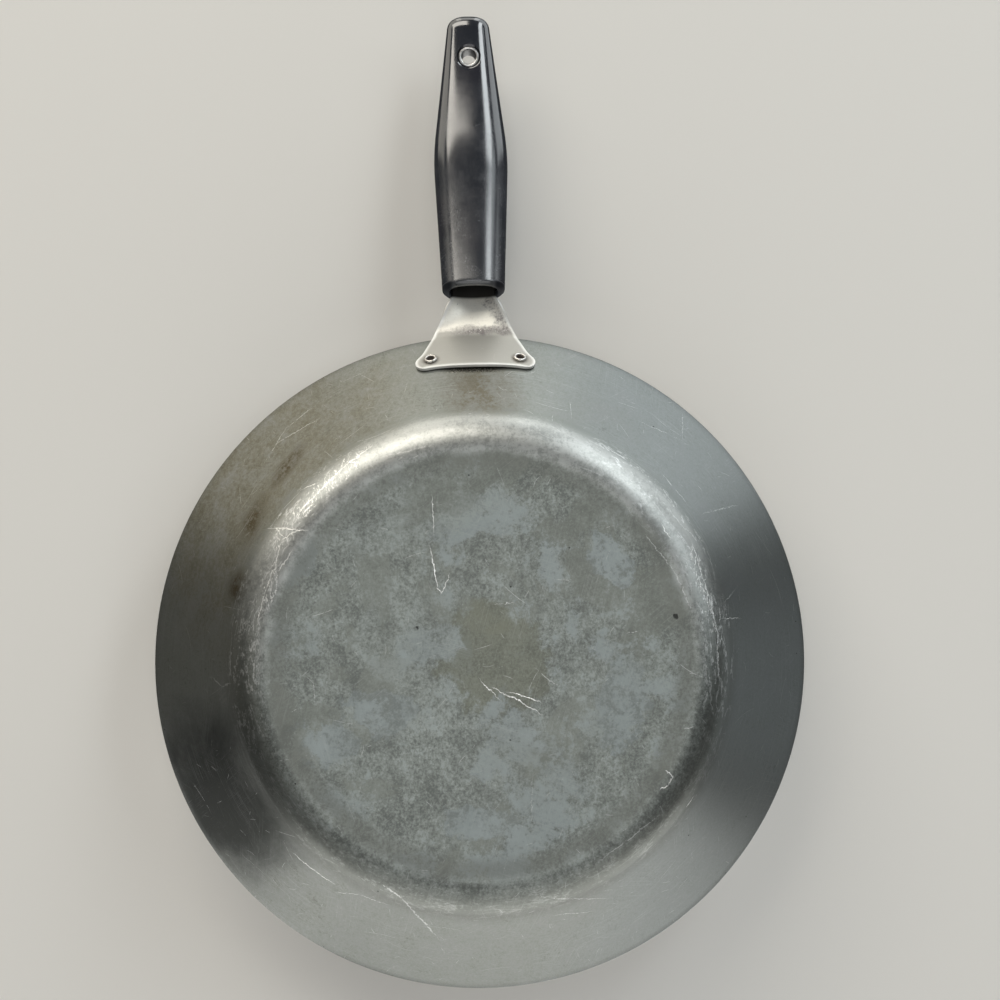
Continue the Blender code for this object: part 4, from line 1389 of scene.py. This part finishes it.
def pan_rows(pan):
    """The pan's profile: inner floor, inner wall, rim, outer wall and underside."""
    run = 1.0 / math.tan(pan.wall_slope)
    half_slope = pan.wall_slope / 2.0
    corner = rim_corner(pan)
    inner_rim = corner - pan.wall_thickness / math.sin(pan.wall_slope)
    upright = math.pi / 2.0
    corner_steps, inner_rim_steps, outer_rim_steps = 24, 6, 8

    def bowl(rim, level, radius):
        foot = (rim - (pan.height - level) * run - radius * math.tan(half_slope), level + radius)
        return [(0.0, level)] + arc(foot, radius, -upright, pan.wall_slope - upright, corner_steps)

    level = pan.height - pan.rim_round
    turn = (math.pi - pan.wall_slope) / 2.0
    inner_round = (inner_rim + pan.rim_round / math.tan(turn), level)
    outer_round = (corner - pan.rim_round / math.tan(half_slope), level)
    inner = bowl(inner_rim, pan.base_thickness, pan.corner_radius - pan.wall_thickness)
    inner += arc(inner_round, pan.rim_round, upright + pan.wall_slope, upright, inner_rim_steps)
    outer = bowl(corner, 0.0, pan.corner_radius)
    outer += arc(outer_round, pan.rim_round, pan.wall_slope - upright, upright, outer_rim_steps)
    longest = 0.004
    inside = with_travel(fill_in(inner, longest), inner=1.0)
    outside = with_travel(fill_in(outer, longest))
    return inside + outside[::-1]


class PAN_OT_body(bpy.types.Operator):
    """Build the pressed and turned pan body"""

    bl_idname = "frying_pan.body"
    bl_label = "Pan body"

    def execute(self, context):
        pan = context.scene.frying_pan.pan
        values = {
            "Columns": pan.columns,
            "Dents": pan.dents,
            "Outside": finish("worn_aluminium", pan_outside, pan),
            "Inside": finish("turned_aluminium", pan_inside, pan),
        }
        profile = profile_mesh("pan_profile", pan_rows(pan))
        piece = grown("worn_pan_body", profile, pan_tree(turned_tree()), values)
        hand_in(piece, ["pan_body"])
        return {"FINISHED"}


Station = namedtuple("Station", "centre slope half_width rim_share cup crown sag")


def sheet_lengths(part):
    """Straight flange, bend and straight neck, measured along the sheet."""
    bracket = part.bracket
    turn = part.pan.wall_slope - bracket.neck_rise
    tangent = bracket.bend_radius * math.tan(turn / 2.0)
    return bracket.flange_length - tangent, bracket.bend_radius * turn, bracket.neck_length - tangent


def sheet_half_width(part, travel):
    """Half the sheet's width at a distance from its lower edge, with round ears."""
    bracket = part.bracket
    flange, bend, neck = sheet_lengths(part)

    def straight(at):
        neck_run = flange + bend + neck - max(at, flange + bend)
        flange_run = max(flange + bend - at, 0.0)
        width = bracket.neck_half_width + neck_run * math.tan(bracket.neck_flare)
        width += flange_run * math.tan(bracket.flange_flare)
        return width + max(bracket.ear_start - at, 0.0) ** 2 / (2.0 * bracket.ear_flare_radius)

    radius = bracket.ear_radius
    ear_end = radius * (1.0 + math.sin(bracket.ear_turn))
    if travel >= ear_end:
        return straight(travel)
    ear_centre = straight(ear_end) - radius * math.cos(bracket.ear_turn)
    return ear_centre + math.sqrt(max(radius**2 - (travel - radius) ** 2, 0.0))


def sheet_station(part, travel):
    """The sheet's section at a distance from its lower edge, up to the grip's mouth."""
    bracket = part.bracket
    wall_slope = part.pan.wall_slope
    rise = bracket.neck_rise
    flange, bend, neck = sheet_lengths(part)
    vertex = bend_vertex(part)
    outward = Vector((math.sin(wall_slope), 0.0, -math.cos(wall_slope)))
    bend_start = vertex - direction(wall_slope) * (bracket.flange_length - flange)
    bend_centre = bend_start + outward * bracket.bend_radius
    if travel <= flange:
        slope = wall_slope
        centre = vertex - direction(slope) * (bracket.flange_length - travel)
    elif travel <= flange + bend:
        slope = mix(wall_slope, rise, (travel - flange) / bend)
        centre = bend_centre + upward_normal(slope) * bracket.bend_radius
    else:
        past = travel - flange - bend + bracket.neck_length - neck
        ease = smooth_step(bracket.neck_length / 2.0, bracket.neck_length, past)
        slope = mix(rise, part.grip.rise, ease)
        centre = vertex + direction(rise) * past
    straighten = smooth_step(flange, flange + bend + neck, travel)
    cupped = smooth_step(flange + bend, flange + bend + neck, travel)
    fade = 1.0 - smooth_step(0.0, flange, travel)
    return Station(
        centre=centre,
        slope=slope,
        half_width=sheet_half_width(part, travel),
        rim_share=1.0 - straighten,
        cup=straighten * cupped / bracket.neck_cup_radius,
        crown=bracket.flange_crown * fade,
        sag=bracket.edge_bulge * fade,
    )


def tang_station(part, distance):
    """The tang's section at a distance into the grip."""
    bracket = part.bracket
    dip = smooth_step(bracket.tang_dip_start, bracket.tang_dip_end, distance)
    narrowing = smooth_step(0.0, bracket.tang_taper_end, distance)
    return Station(
        centre=grip_point(part, distance, 0.0, mouth_sheet_height(part) * (1.0 - dip)),
        slope=grip_slope(part.grip, distance),
        half_width=mix(bracket.neck_half_width, bracket.tang_half_width, narrowing),
        rim_share=0.0,
        cup=(1.0 - smooth_step(0.0, bracket.tang_dip_end, distance)) / bracket.neck_cup_radius,
        crown=0.0,
        sag=0.0,
    )


def bracket_stations(part):
    """Sections of the sheet from the flange's lower edge into the grip."""
    bracket = part.bracket
    ear_arc = math.pi / 2.0 + bracket.ear_turn
    ear_end = bracket.ear_radius * (1.0 + math.sin(bracket.ear_turn))
    mouth = sum(sheet_lengths(part))
    ear_steps, sheet_steps, tang_steps = 28, 110, 50
    stations = []
    for step in range(ear_steps):
        rise = bracket.ear_radius * (1.0 - math.cos(ear_arc * step / ear_steps))
        stations.append(sheet_station(part, rise))
    for step in range(sheet_steps + 1):
        stations.append(sheet_station(part, mix(ear_end, mouth, step / sheet_steps)))
    for step in range(1, tang_steps + 1):
        stations.append(tang_station(part, bracket.tang_end * step / tang_steps))
    return stations


def sheet_row(part, station, columns):
    """Points across the middle of the sheet at one station, with their distance from a side."""
    row = []
    radius = station.centre.x
    for column in range(columns + 1):
        # The columns crowd towards the two sides, where the sheet's edge is rounded.
        place_across = math.sin(math.pi * (column / columns - 0.5))
        place_across = mix(2.0 * column / columns - 1.0, place_across, 0.6)
        across = station.half_width * place_across
        around_rim = radius - math.sqrt(radius**2 - across**2)
        swell = max(1.0 - (2.0 * across / part.rivets.spacing) ** 2, 0.0) ** 2
        outward = station.cup * across * across / 2.0 + station.crown * swell
        point = station.centre + Vector((-station.rim_share * around_rim, across, 0.0))
        point -= upward_normal(station.slope) * outward
        point -= direction(station.slope) * (station.sag * swell)
        row.append((point, station.half_width - abs(across)))
    return row


def bent_sheet(part, columns):
    """The middle of the sheet, where each point keeps its distance from the sheet's edge."""
    bm = bmesh.new()
    edge = bm.verts.layers.float_vector.new("edge")
    stations = bracket_stations(part)
    lower_edge = stations[0].centre
    rows = []
    for station in stations:
        row = []
        for point, from_side in sheet_row(part, station, columns):
            vert = bm.verts.new(point)
            from_edge = min(from_side, (station.centre - lower_edge).length)
            vert[edge] = (from_edge, 0.0, 0.0)
            row.append(vert)
        rows.append(row)
    for first, second in zip(rows, rows[1:]):
        for here in range(columns):
            there = here + 1
            bm.faces.new((first[here], first[there], second[there], second[here]))
    bmesh.ops.recalc_face_normals(bm, faces=bm.faces)
    return bm


def thicken(piece, bracket):
    """Give the sheet its thickness, and round its edges."""
    solidify = piece.modifiers.new("sheet", "SOLIDIFY")
    solidify.thickness = bracket.sheet
    solidify.offset = 0.0
    solidify.use_even_offset = True
    bevel = piece.modifiers.new("edge", "BEVEL")
    bevel.width = bracket.edge_round
    bevel.segments = 2
    bevel.limit_method = "ANGLE"
    bevel.angle_limit = math.radians(60.0)
    made_plain(piece)


def ear_cutters(part, material):
    """Cutters for the rivets' holes, square to the wall."""
    seat, turn = rivet_seat(part)
    lean = Matrix.Rotation(math.pi - part.pan.wall_slope, 4, "Y")
    radius = part.rivets.shank_radius + part.bracket.clearance
    below, above = -0.003, 0.006
    cutters = []
    for side in (1.0, -1.0):
        ear = Matrix.Rotation(side * turn, 4, "Z") @ Matrix.Translation(seat) @ lean
        cutters.append(turned_cutter("ear_hole", [(radius, below), (radius, above)], ear, material, 48))
    return cutters


class PAN_OT_bracket(bpy.types.Operator):
    """Build the sheet bracket that joins the pan and the grip"""

    bl_idname = "frying_pan.bracket"
    bl_label = "Handle bracket"

    def execute(self, context):
        part = context.scene.frying_pan
        seat, turn = rivet_seat(part)
        seats = [Matrix.Rotation(side * turn, 4, "Z") @ seat for side in (1.0, -1.0)]
        steel = finish("satin_steel", bracket_finish, part.bracket, seats)
        piece = mesh_object("worn_handle_bracket", bent_sheet(part, 72), steel)
        thicken(piece, part.bracket)
        cut(piece, ear_cutters(part, steel))
        shade(piece, 40.0)
        hand_in(piece, ["handle_bracket"])
        return {"FINISHED"}


def rolled_edge(middle, half, base, height, steps):
    """A half ellipse over a base, from its inner side to its outer one."""
    points = []
    for step in range(steps + 1):
        turn = math.pi * (1.0 - step / steps)
        points.append((middle + half * math.cos(turn), base + height * math.sin(turn)))
    return points


def rivet_rows(part):
    """Pit, rolled ring, shank and inner dome, down to the axis inside the pan."""
    rivets, bracket = part.rivets, part.bracket
    ring_base = 2.0 * bracket.clearance + bracket.sheet
    ring_top = ring_base + rivets.ring_height
    middle = (rivets.ring_radius + rivets.pit_radius) / 2.0
    half = (rivets.ring_radius - rivets.pit_radius) / 2.0
    dome_base = -(part.pan.wall_thickness + bracket.clearance)
    pit_floor = ring_top - rivets.pit_depth
    points = [(0.0, pit_floor), (rivets.pit_radius, pit_floor)]
    lip = bracket.clearance
    points += rolled_edge(middle, half, ring_base + lip, rivets.ring_height - lip, 20)
    points.append((rivets.ring_radius, ring_base))
    points += [(rivets.shank_radius, ring_base), (rivets.shank_radius, dome_base)]
    dome_steps = 14
    for step in range(dome_steps):
        turn = math.pi / 2.0 * step / dome_steps
        drop = rivets.dome_height * math.sin(turn)
        points.append((rivets.dome_radius * math.cos(turn), dome_base - drop))
    points.append((0.0, dome_base - rivets.dome_height))
    return with_travel(fill_in(points, 0.0005))


class PAN_OT_rivets(bpy.types.Operator):
    """Build the two tubular rivets"""

    bl_idname = "frying_pan.rivets"
    bl_label = "Bracket rivets"

    def execute(self, context):
        part = context.scene.frying_pan
        seat, turn = rivet_seat(part)
        values = {
            "Columns": 72,
            "Count": 2,
            "Turn": turn,
            "Radius": seat.x,
            "Height": seat.z,
            "Lean": math.pi - part.pan.wall_slope,
            "Unevenness": 0.00012,
            "Seed": 7,
            "Material": finish("rolled_rivet", rivet_finish, part.rivets),
        }
        profile = profile_mesh("rivet_profile", rivet_rows(part))
        piece = grown("worn_bracket_rivets", profile, seated_tree(turned_tree()), values)
        hand_in(piece, ["bracket_rivet_left", "bracket_rivet_right"])
        return {"FINISHED"}


def grip_ring(part, distance, inset, shrink=1.0):
    """One rounded section of the grip, drawn in by an inset and scaled about its centre."""
    grip = part.grip
    station = max(distance, 0.0)
    width = taper(grip, station, grip.mouth_width, grip.knee_width, grip.tip_width)
    half_width = (width / 2.0 - inset - grip.trim) * shrink
    half_depth = (grip_half_depth(grip, station) - inset - grip.trim) * shrink
    power = 2.0 / grip.squareness
    points = []
    for side in range(grip.sides):
        turn = 2.0 * math.pi * side / grip.sides
        across = math.copysign(abs(math.cos(turn)) ** power, math.cos(turn))
        up = math.copysign(abs(math.sin(turn)) ** power, math.sin(turn))
        points.append(grip_point(part, distance, half_width * across, half_depth * up))
    return points


def mouth_edge(grip):
    """Distance and inset along the chamfer round the mouth, its two edges rounded."""
    wide, soft = grip.mouth_chamfer, grip.mouth_soft
    lean = soft * math.cos(math.pi / 4.0)
    corners = [
        ((0.0, wide + soft), (0.0, wide), (lean, wide - lean)),
        ((wide - lean, lean), (wide, 0.0), (wide + soft, 0.0)),
    ]
    steps = 4
    rows = []
    for start, corner, end in corners:
        for step in range(steps + 1):
            first = between_points(start, corner, step / steps)
            second = between_points(corner, end, step / steps)
            rows.append(between_points(first, second, step / steps))
    return rows


def grip_rings(part):
    """Sections from the pocket's floor out over the mouth, and along the grip to its tip."""
    grip = part.grip
    rings = []
    pocket_steps, lip_steps, body_steps, tip_steps = 24, 4, 120, 18
    for step in range(pocket_steps + 1):
        rings.append(grip_ring(part, mix(grip.pocket, grip.lip_round, step / pocket_steps), grip.wall))
    for step in range(1, lip_steps + 1):
        turn = math.pi / 2.0 * step / lip_steps
        drawn_in = grip.wall - grip.lip_round * (1.0 - math.cos(turn))
        rings.append(grip_ring(part, grip.lip_round * (1.0 - math.sin(turn)), drawn_in))
    for distance, inset in mouth_edge(grip):
        rings.append(grip_ring(part, distance, inset))
    body_start = grip.mouth_chamfer + grip.mouth_soft
    tip_start = grip.length - grip.tip_round
    for step in range(1, body_steps + 1):
        rings.append(grip_ring(part, mix(body_start, tip_start, step / body_steps), 0.0))
    power = grip.tip_squareness
    tip_turn = math.radians(86.0)
    for step in range(1, tip_steps + 1):
        reach = math.sin(tip_turn * step / tip_steps)
        shrink = (1.0 - reach**power) ** (1.0 / power)
        rings.append(grip_ring(part, tip_start + grip.tip_round * reach, 0.0, shrink))
    return rings


def hanging_hole_cutters(part, material):
    """Cutters for the eyelet's bore, and for its sunk seat on both sides of the grip."""
    grip, eyelet = part.grip, part.eyelet
    surface = grip_half_depth(grip, grip.length - eyelet.from_tip)
    floor = surface - eyelet.recess - eyelet.flange_height - part.bracket.clearance
    bore = eyelet.bore_radius + eyelet.tube_wall + part.bracket.clearance
    wide = eyelet.counterbore_radius
    lip = 0.0005
    top = surface + 0.003
    profile = [(wide, floor), (wide, surface - lip), (wide + lip * 0.3, surface - lip * 0.3)]
    profile += [(wide + lip, surface), (wide + lip * 3.0, top)]
    here = eyelet_frame(part)
    flipped = here @ Matrix.Rotation(math.pi, 4, "X")
    return [
        turned_cutter("bore", [(bore, -top), (bore, top)], here, material),
        turned_cutter("upper_seat", profile, here, material),
        turned_cutter("lower_seat", profile, flipped, material),
    ]


class PAN_OT_grip(bpy.types.Operator):
    """Build the hollow moulded grip"""

    bl_idname = "frying_pan.grip"
    bl_label = "Handle grip"

    def execute(self, context):
        part = context.scene.frying_pan
        phenolic = finish("black_phenolic", grip_finish, part.grip, grip_centre(part, 0.0))
        bm = bmesh.new()
        loops = [[bm.verts.new(point) for point in ring] for ring in grip_rings(part)]
        join_loops(bm, loops)
        piece = mesh_object("worn_handle_grip", bm, phenolic)
        cut(piece, hanging_hole_cutters(part, phenolic))
        shade(piece, 35.0)
        hand_in(piece, ["handle_grip"])
        return {"FINISHED"}


def eyelet_rows(part):
    """A tube with a rolled flange at each end, outer side from top to bottom."""
    eyelet = part.eyelet
    distance = part.grip.length - eyelet.from_tip
    half_length = grip_half_depth(part.grip, distance) - eyelet.recess
    tube = eyelet.bore_radius + eyelet.tube_wall
    middle = (eyelet.flange_radius + eyelet.bore_radius) / 2.0
    half = (eyelet.flange_radius - eyelet.bore_radius) / 2.0
    base = half_length - eyelet.flange_height
    lip = eyelet.flange_height / 3.0
    top = rolled_edge(middle, half, base + lip, eyelet.flange_height - lip, 18)
    top += [(eyelet.flange_radius, base), (tube, base)]
    ring = top + [(x, -z) for x, z in reversed(top)]
    return with_travel(fill_in(ring + ring[:1], 0.0006))


class PAN_OT_eyelet(bpy.types.Operator):
    """Build the hanging eyelet"""

    bl_idname = "frying_pan.eyelet"
    bl_label = "Hanging eyelet"

    def execute(self, context):
        part = context.scene.frying_pan
        seat = eyelet_frame(part)
        centre, lean, _ = seat.decompose()
        values = {
            "Columns": 96,
            "Count": 1,
            "Turn": 0.0,
            "Radius": centre.x,
            "Height": centre.z,
            "Lean": lean.to_euler().y,
            "Unevenness": 0.00008,
            "Seed": 3,
            "Material": finish("plated_eyelet", eyelet_finish, part.eyelet, seat),
        }
        profile = profile_mesh("eyelet_profile", eyelet_rows(part))
        piece = grown("worn_hanging_eyelet", profile, seated_tree(turned_tree()), values)
        hand_in(piece, ["hanging_eyelet"])
        return {"FINISHED"}


# Stage

# The floor lies just under the base, and the wall stands behind the pan as the camera sees it.
FLOOR_CENTRE = (0.0, 0.0, -0.0005)
FLOOR_RADIUS = 1.3
FLOOR_FADE_START = 0.60
WALL_CENTRE = (0.03, 0.0, 0.095)
WALL_RADIUS = 1.2
# The wall fades as it is seen more edge on, from the first of these shares to the second.
WALL_FADE = (0.45, 0.70)

# The camera's lens and sensor in millimetres, its place, and its turn in degrees
CAMERA_LENS = 61.2
CAMERA_SENSOR = 36.0
CAMERA_PLACE = (0.0299, -0.0086, -0.7468)
CAMERA_TURN = (-176.787, 1.2962, 91.2049)

# A lamp faces its aim, and its size runs level first, then up.
Lamp = namedtuple("Lamp", "name place aim size radiance colour")

MIDDLE = (0.05, 0.0, 0.0)

LAMPS = (
    Lamp("front_fill", (-0.12, 0.0, -2.3), MIDDLE, (1.05, 1.05), 2.36, (1.0, 1.0, 1.0)),
    Lamp("warm_window", (1.577, -0.95, -1.168), (0.2, -0.95, 0.04), (1.9, 0.88), 4.00, (1.0, 0.95, 0.86)),
    Lamp("cool_window", (1.48, 1.10, -1.22), (0.2, 1.10, 0.04), (0.65, 1.05), 4.60, (0.93, 0.98, 1.0)),
    Lamp("ceiling", (2.30, 0.0, 0.0), MIDDLE, (1.5, 1.2), 1.35, (1.0, 0.98, 0.92)),
    Lamp("cool_ceiling", (1.75, 1.25, 0.05), MIDDLE, (2.3, 1.7), 1.40, (0.93, 0.98, 1.0)),
    Lamp("warm_ceiling", (1.75, -1.25, 0.05), MIDDLE, (2.3, 1.7), 1.10, (1.0, 0.95, 0.84)),
    Lamp("cool_side", (-0.30, 2.1, 0.0), MIDDLE, (1.3, 1.3), 0.35, (0.90, 0.97, 1.0)),
    Lamp("warm_side", (0.0, -2.1, 0.0), MIDDLE, (0.9, 1.3), 0.14, (1.0, 0.93, 0.78)),
    Lamp("right_fill", (0.62, 1.45, -1.50), MIDDLE, (1.1, 1.1), 1.25, (0.90, 0.97, 1.0)),
    Lamp("left_fill", (0.15, -1.50, -1.50), MIDDLE, (1.0, 1.0), 0.45, (1.0, 0.96, 0.88)),
    Lamp("low_bounce", (-1.10, 0.07, 0.0), MIDDLE, (2.6, 0.9), 1.60, (1.0, 0.99, 0.96)),
    Lamp("low_front", (-1.60, 0.0, -1.30), MIDDLE, (2.4, 1.2), 0.80, (1.0, 1.0, 0.98)),
    Lamp("overhead", (-0.75, 0.5, 1.85), MIDDLE, (1.5, 1.5), 3.20, (1.0, 1.0, 1.0)),
    Lamp("top_fill", (-1.05, -1.20, 1.45), MIDDLE, (1.3, 1.3), 1.80, (1.0, 0.99, 0.96)),
)


def one_sided(name, rgb, fade_edge=None, fade_radius=None):
    """A matt stage material that shows its front, and is clear from behind and where it fades."""
    material = bpy.data.materials.new(name)
    material.use_nodes = True
    tree = material.node_tree
    tree.nodes.clear()
    nodes = Field(tree)
    matt = nodes.node("ShaderNodeBsdfDiffuse", None, {"Color": rgba(rgb)})
    clear = nodes.node("ShaderNodeBsdfTransparent")
    hidden = nodes.node("ShaderNodeNewGeometry", output="Backfacing")
    if fade_edge is not None:
        grazing = nodes.node("ShaderNodeLayerWeight", None, {"Blend": 0.5}, "Facing")
        hidden = strongest(hidden, smooth(grazing, *fade_edge))
    if fade_radius is not None:
        hidden = strongest(hidden, smooth(place(nodes).length(), *fade_radius))
    shown = nodes.node("ShaderNodeMixShader", None, {0: hidden, 1: matt, 2: clear})
    output = tree.nodes.new("ShaderNodeOutputMaterial")
    tree.links.new(shown.socket, output.inputs["Surface"])
    return material


def stage_sheet(name, centre, radius, faces_down, material, sides=96):
    """A round sheet that only the camera sees, so that it keeps no light from the pan."""
    bm = bmesh.new()
    ring = []
    for side in range(sides):
        turn = 2.0 * math.pi * side / sides * (-1.0 if faces_down else 1.0)
        outward = Vector((math.cos(turn), math.sin(turn), 0.0))
        ring.append(bm.verts.new(Vector(centre) + radius * outward))
    bm.faces.new(ring)
    sheet = mesh_object(name, bm, material)
    for ray in ("diffuse", "glossy", "transmission", "shadow", "volume_scatter"):
        setattr(sheet, "visible_" + ray, False)
    return sheet


def add_lamp(lamp, level):
    """A lamp as bright as its radiance says, whatever its size, and unseen by the camera."""
    light = bpy.data.lights.new(lamp.name, "AREA")
    light.shape = "RECTANGLE"
    light.size, light.size_y = lamp.size
    light.energy = level * lamp.radiance * math.pi * lamp.size[0] * lamp.size[1]
    light.color = lamp.colour
    holder = bpy.data.objects.new(lamp.name, light)
    holder.location = lamp.place
    aim = Vector(lamp.aim) - Vector(lamp.place)
    holder.rotation_euler = aim.to_track_quat("-Z", "Y").to_euler()
    holder.visible_camera = False
    bpy.context.scene.collection.objects.link(holder)


def make_world(stage):
    """Even grey light, which the camera sees as the pale backdrop."""
    world = bpy.data.worlds.new("studio")
    bpy.context.scene.world = world
    world.use_nodes = True
    tree = world.node_tree
    tree.nodes.clear()
    nodes = Field(tree)
    seen = nodes.node("ShaderNodeLightPath", output="Is Camera Ray")
    white_sky = {"Color": rgba((1.0, 1.0, 1.0)), "Strength": stage.sky}
    even = nodes.node("ShaderNodeBackground", None, white_sky)
    pale_sky = {"Color": rgba(stage.backdrop), "Strength": 1.0}
    pale = nodes.node("ShaderNodeBackground", None, pale_sky)
    mixed = nodes.node("ShaderNodeMixShader", None, {0: seen, 1: even, 2: pale})
    output = tree.nodes.new("ShaderNodeOutputWorld")
    tree.links.new(mixed.socket, output.inputs["Surface"])


class PAN_OT_stage(bpy.types.Operator):
    """Set up the floor, the wall behind the pan, the lamps and the camera"""

    bl_idname = "frying_pan.stage"
    bl_label = "Stage"

    def execute(self, context):
        scene = context.scene
        stage = scene.frying_pan.stage
        floor = one_sided("pale_floor", stage.floor, fade_radius=(FLOOR_FADE_START, FLOOR_RADIUS))
        stage_sheet("floor", FLOOR_CENTRE, FLOOR_RADIUS, False, floor)
        wall = one_sided("pale_wall", stage.backdrop, fade_edge=WALL_FADE)
        stage_sheet("wall", WALL_CENTRE, WALL_RADIUS, True, wall)
        for lamp in LAMPS:
            add_lamp(lamp, stage.light)
        make_world(stage)

        lens = bpy.data.cameras.new("photo_camera")
        lens.lens = CAMERA_LENS
        lens.sensor_width = CAMERA_SENSOR
        lens.clip_start = 0.01
        camera = bpy.data.objects.new("photo_camera", lens)
        camera.location = CAMERA_PLACE
        camera.rotation_euler = [math.radians(turn) for turn in CAMERA_TURN]
        scene.collection.objects.link(camera)
        scene.camera = camera
        scene.view_settings.view_transform = "Standard"
        return {"FINISHED"}


class PAN_PT_panel(bpy.types.Panel):
    """Sizes and colours of the frying pan, and the buttons that build it"""

    bl_idname = "PAN_PT_panel"
    bl_label = "Frying pan"
    bl_space_type = "VIEW_3D"
    bl_region_type = "UI"
    bl_category = "Frying pan"

    def draw(self, context):
        part = context.scene.frying_pan
        groups = (part.pan, part.bracket, part.rivets, part.grip, part.eyelet, part.stage)
        for group, operator in zip(groups, OPERATORS):
            box = self.layout.box()
            for name in group.__annotations__:
                box.prop(group, name)
            box.operator(operator.bl_idname)


OPERATORS = (PAN_OT_body, PAN_OT_bracket, PAN_OT_rivets, PAN_OT_grip, PAN_OT_eyelet, PAN_OT_stage)
CLASSES = (
    PanSettings,
    BracketSettings,
    RivetSettings,
    GripSettings,
    EyeletSettings,
    StageSettings,
    FryingPanSettings,
    *OPERATORS,
    PAN_PT_panel,
)


def register():
    for each in CLASSES:
        bpy.utils.register_class(each)
    bpy.types.Scene.frying_pan = PointerProperty(type=FryingPanSettings)


def unregister():
    del bpy.types.Scene.frying_pan
    for each in reversed(CLASSES):
        bpy.utils.unregister_class(each)


def main():
    register()
    bpy.ops.frying_pan.body()
    bpy.ops.frying_pan.bracket()
    bpy.ops.frying_pan.rivets()
    bpy.ops.frying_pan.grip()
    bpy.ops.frying_pan.eyelet()
    bpy.ops.frying_pan.stage()


if __name__ == "__main__":
    main()
